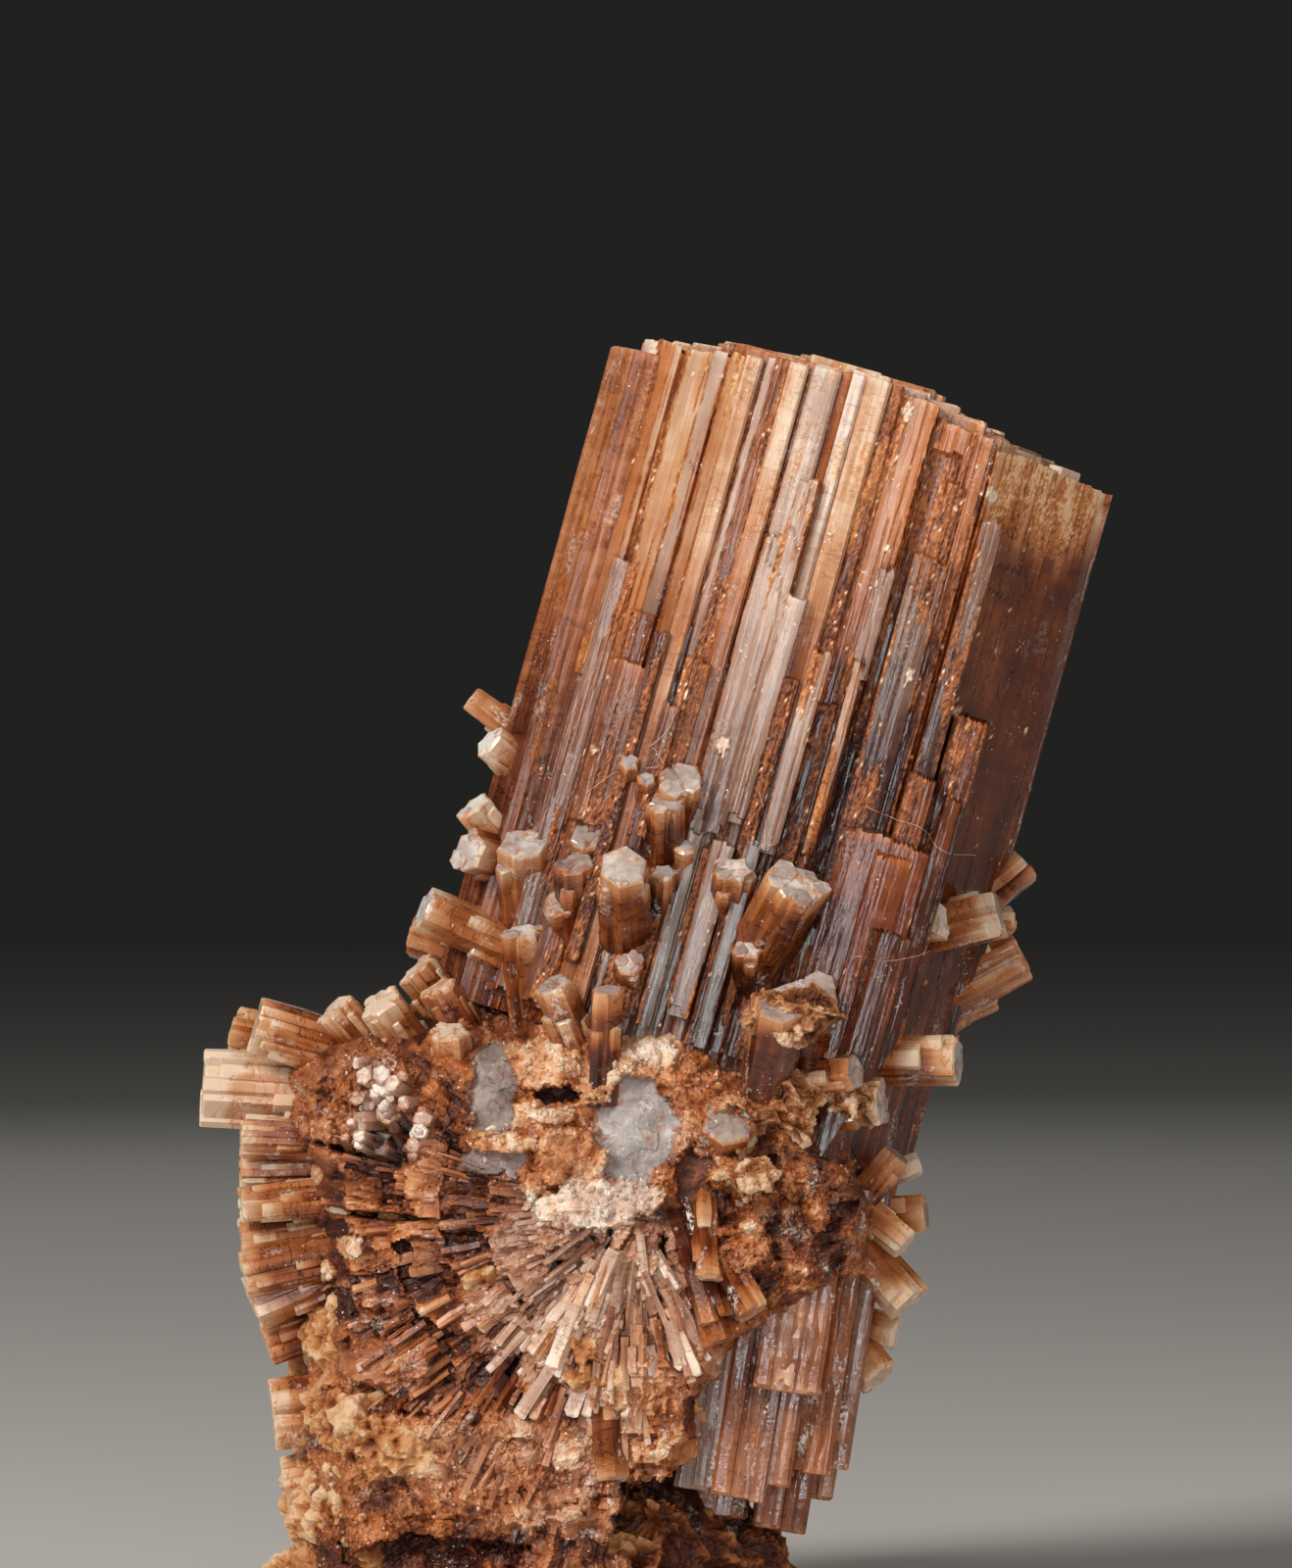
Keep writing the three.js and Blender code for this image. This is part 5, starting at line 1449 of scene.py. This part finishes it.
def bundle(tip, direction, radius, columns, length, seed):
    place = pointing(tip, direction, 0)
    plan = striated(hexagon(radius * 1.9), 0.2, 0.03, seed)
    made = [rod(plan, -length, 0, place, (0.55, 0.2, 0.4, 3), seed, rows=8, sway=0.03, end=(0.15, 0.3))]
    for i in range(columns):
        at = 2 * math.pi * (i + 0.5 * spread(seed + i)) / columns
        x = math.cos(at) * radius * 0.84
        y = math.sin(at) * radius * 0.84
        top = between(-1.8, 0.35, seed + i + 0.2)
        width = radius * between(0.45, 0.75, seed + i + 0.4)
        plan = striated([(px + x, py + y) for px, py in hexagon(width, 0.9)], 0.15, 0.03, seed + i)
        look = (between(0.42, 0.72, seed + i), between(0, 0.5, seed + i + 0.5), 0.38, 3)
        made.append(rod(plan, top - length, top, place, look, seed + i,
                        rows=8, sway=0.03, chips=0.3, end=(0.15, 0.3)))
        for k in range(3):
            turn = at + (k - 1) * 0.25
            thin = [(px + radius * 1.12 * math.cos(turn), py + radius * 1.12 * math.sin(turn))
                    for px, py in hexagon(between(0.35, 0.7, seed + i + 0.1 * k), 0.9)]
            thin = striated(thin, 0.15, 0.02, seed + i + k)
            thin_top = top - between(0.1, 4, seed + i + 0.15 * k)
            look = (between(0.35, 0.7, seed + i + 0.3 * k), 0.15, 0.35, 3)
            made.append(rod(thin, thin_top - length, thin_top, place, look, seed + i + 0.21 * k,
                            rim=0.05, chips=0.3, end=(0.15, 0.3)))
    return made


LOWER_MATERIAL = crystal_material("lower_aragonite", streaks=1.8, contrast=0.4, rough=0.16, rust=0.9,
                                  clear=0.12, through=0.4, frost=1.0)
grown_together("lower_end", lower_end() + short_crystals(SPRAYS, 860, (0.05, 0.3), 0.2), LOWER_MATERIAL)
grown_together("back_bundles", [c for b in BACK_BUNDLES for c in bundle(**b)], FAN_MATERIAL)

# The crust and the foot.
# A sugary mass of fine aragonite holds the crystals: cream and porous between the main crystal and
# the fan, orange-brown and granular at the foot, which is cut off flat.
# Each lump: its middle, and its half width, half depth and half height.
CRUST_LUMPS = [
    (-3.6, -0.4, 16.0, 5.0, 6.4, 3.8), (-2.2, 3.8, 15.0, 5.8, 4.8, 7.0), (4.4, 3.0, 16.8, 5.8, 5.0, 5.4),
    (-2.6, 2.6, 20.0, 2.0, 4.4, 2.4),
]
FOOT_LUMPS = [
    (-4.6, -0.2, 11.4, 5.6, 6.4, 5.4), (-4.9, 0.2, 5.6, 5.6, 6.8, 5.4), (0.8, -0.8, 9.4, 4.6, 6.8, 6.2),
    (4.6, 0.4, 11.6, 4.2, 6.0, 6.4), (-2.4, 0.9, 1.0, 7.6, 7.6, 4.6), (2.4, 1.4, 1.6, 4.4, 6.0, 4.8),
]
# Rough lumps on the front, right of the broken face.
FRONT_LUMPS = [
    (6.9, -9.5, 21.0, 1.7, 1.0, 1.1), (5.2, -7.9, 17.4, 0.85, 0.9, 1.2), (5.5, -8.4, 15.4, 0.95, 0.7, 0.8),
    (8.2, -7.6, 18.9, 0.9, 0.9, 0.7), (9.0, -7.2, 17.8, 0.9, 0.9, 0.9), (6.6, -7.6, 18.2, 1.3, 1.1, 1.5),
]
LUMP_ROUGHNESS = 0.11


def lump(mesh_points, mesh_faces, row, i):
    ball = bmesh.new()
    bmesh.ops.create_icosphere(ball, subdivisions=5, radius=1)
    start = len(mesh_points)
    for v in ball.verts:
        p = v.co
        knobs = math.sin(5.1 * p.x + 1.7 * i) * math.sin(4.3 * p.y + 2.3 * i)
        knobs += math.sin(5.7 * p.z + 3.1 * p.x + i)
        q = p * (1 + LUMP_ROUGHNESS * knobs)
        mesh_points.append([(at * half + middle) * MM for at, middle, half in zip(q, row[:3], row[3:])])
    mesh_faces.extend(tuple(start + v.index for v in f.verts) for f in ball.faces)
    ball.free()


def crust(name, rows, voxel, material, rough, blocky):
    points = []
    faces = []
    for i, row in enumerate(rows):
        lump(points, faces, row, i)
    mesh = bpy.data.meshes.new(name)
    mesh.from_pydata(points, [], faces)
    body = stood(name, mesh)
    remesh = body.modifiers.new("skin", "REMESH")
    remesh.mode = "VOXEL"
    remesh.voxel_size = voxel * MM
    skin = evaluated(body)
    body.modifiers.remove(remesh)
    body.data = skin
    skin.name = name
    heights = np.zeros(len(skin.vertices))
    moved = np.zeros((len(skin.vertices), 3))
    for v in skin.vertices:
        p = v.co / MM
        ray = p - MIDDLE
        reach = ray.length
        ray.normalize()
        knobs = noise.fractal(p * 0.55, 1.0, 2.1, 4)
        crags = abs(noise.noise(p * 0.9 + Vector((5, 1, 9))))
        fibres = noise.noise(Vector((ray.x * 16, ray.y * 16, ray.z * 16 + reach * 0.35)))
        turned = Vector((p.x + 0.4 * p.z, p.y - 0.3 * p.x, p.z + 0.5 * p.y))
        blocks = noise.cell(turned * 2.1) + 0.7 * noise.cell((turned + Vector((7, 3, 5))) * 3.7) - 0.85
        grains = noise.fractal(p * 3.2, 0.8, 2.2, 3)
        ledges = math.floor(knobs * 4) / 4
        rise = rough * (0.45 * (0.4 * knobs + 0.6 * ledges) - 0.7 * crags + 0.2 * fibres
                        + blocky * 0.22 * blocks + 0.12 * grains)
        heights[v.index] = 0.5 * knobs - 1.0 * crags + 0.3 * fibres + 0.3 * grains + 0.35 * blocks
        moved[v.index] = p + v.normal * rise
    moved[:, 2] = np.maximum(moved[:, 2], 0.0)
    skin.vertices.foreach_set("co", (moved * MM).ravel())
    shadow = np.clip((moved[:, 0] - 0.5) / 3, 0, 1) * np.clip((6 - moved[:, 2]) / 3, 0, 1)
    spread_of = heights.std()
    level = np.clip(0.5 + (heights - heights.mean()) / (3.5 * spread_of) - 0.65 * shadow, 0, 1)
    skin.attributes.new("level", "FLOAT", "POINT").data.foreach_set("value", level)
    skin.materials.clear()
    skin.materials.append(material)
    skin.shade_flat()
    of_the_cluster(body)


def crust_material(name, colours, rough):
    """Colours from hollows to heights, broken up by fine grain."""
    material, tree, skin = translucent(name, 0.25, 0.5, (1.0, 0.45, 0.2))
    place = vectors(tree, "SCALE", add(tree, "ShaderNodeTexCoord").outputs["Object"], scale=1000)
    shade = add(tree, "ShaderNodeAttribute", attribute_name="level").outputs["Fac"]
    grains = noise_of(tree, place, 5.0, 3, 0.7)
    for varied, share in ((noise_of(tree, place, 0.5, 4), 0.9), (grains, 0.55)):
        varied = maths(tree, "MULTIPLY", maths(tree, "SUBTRACT", varied, 0.5), share)
        shade = maths(tree, "ADD", shade, varied)
    stops = [(i / (len(colours) - 1), colour) for i, colour in enumerate(colours)]
    link(tree, ramp_of(tree, shade, stops), skin.inputs["Base Color"])
    relief_of(tree, grains, 0.12)
    set_inputs(skin, {"Roughness": rough, "Specular IOR Level": 0.3})
    return material


CRUST_MATERIAL = crust_material(
    "cream_crust", [(0.20, 0.05, 0.015), (0.45, 0.19, 0.07), (0.68, 0.44, 0.25), (0.78, 0.62, 0.44),
                    (0.84, 0.74, 0.60)], 0.6)
FOOT_MATERIAL = crust_material(
    "granular_foot", [(0.06, 0.012, 0.004), (0.22, 0.055, 0.012), (0.42, 0.155, 0.045), (0.54, 0.26, 0.10),
                      (0.68, 0.46, 0.28)], 0.55)
crust("crust", CRUST_LUMPS, 0.16, CRUST_MATERIAL, 0.9, 0.5)
crust("foot", FOOT_LUMPS, 0.16, FOOT_MATERIAL, 0.9, 0.6)
LUMP_MATERIAL = crust_material(
    "brown_lumps", [(0.05, 0.010, 0.004), (0.17, 0.045, 0.012), (0.32, 0.115, 0.035), (0.46, 0.21, 0.09),
                    (0.66, 0.44, 0.28)], 0.4)
crust("rough_lumps", FRONT_LUMPS, 0.07, LUMP_MATERIAL, 0.55, 1.1)
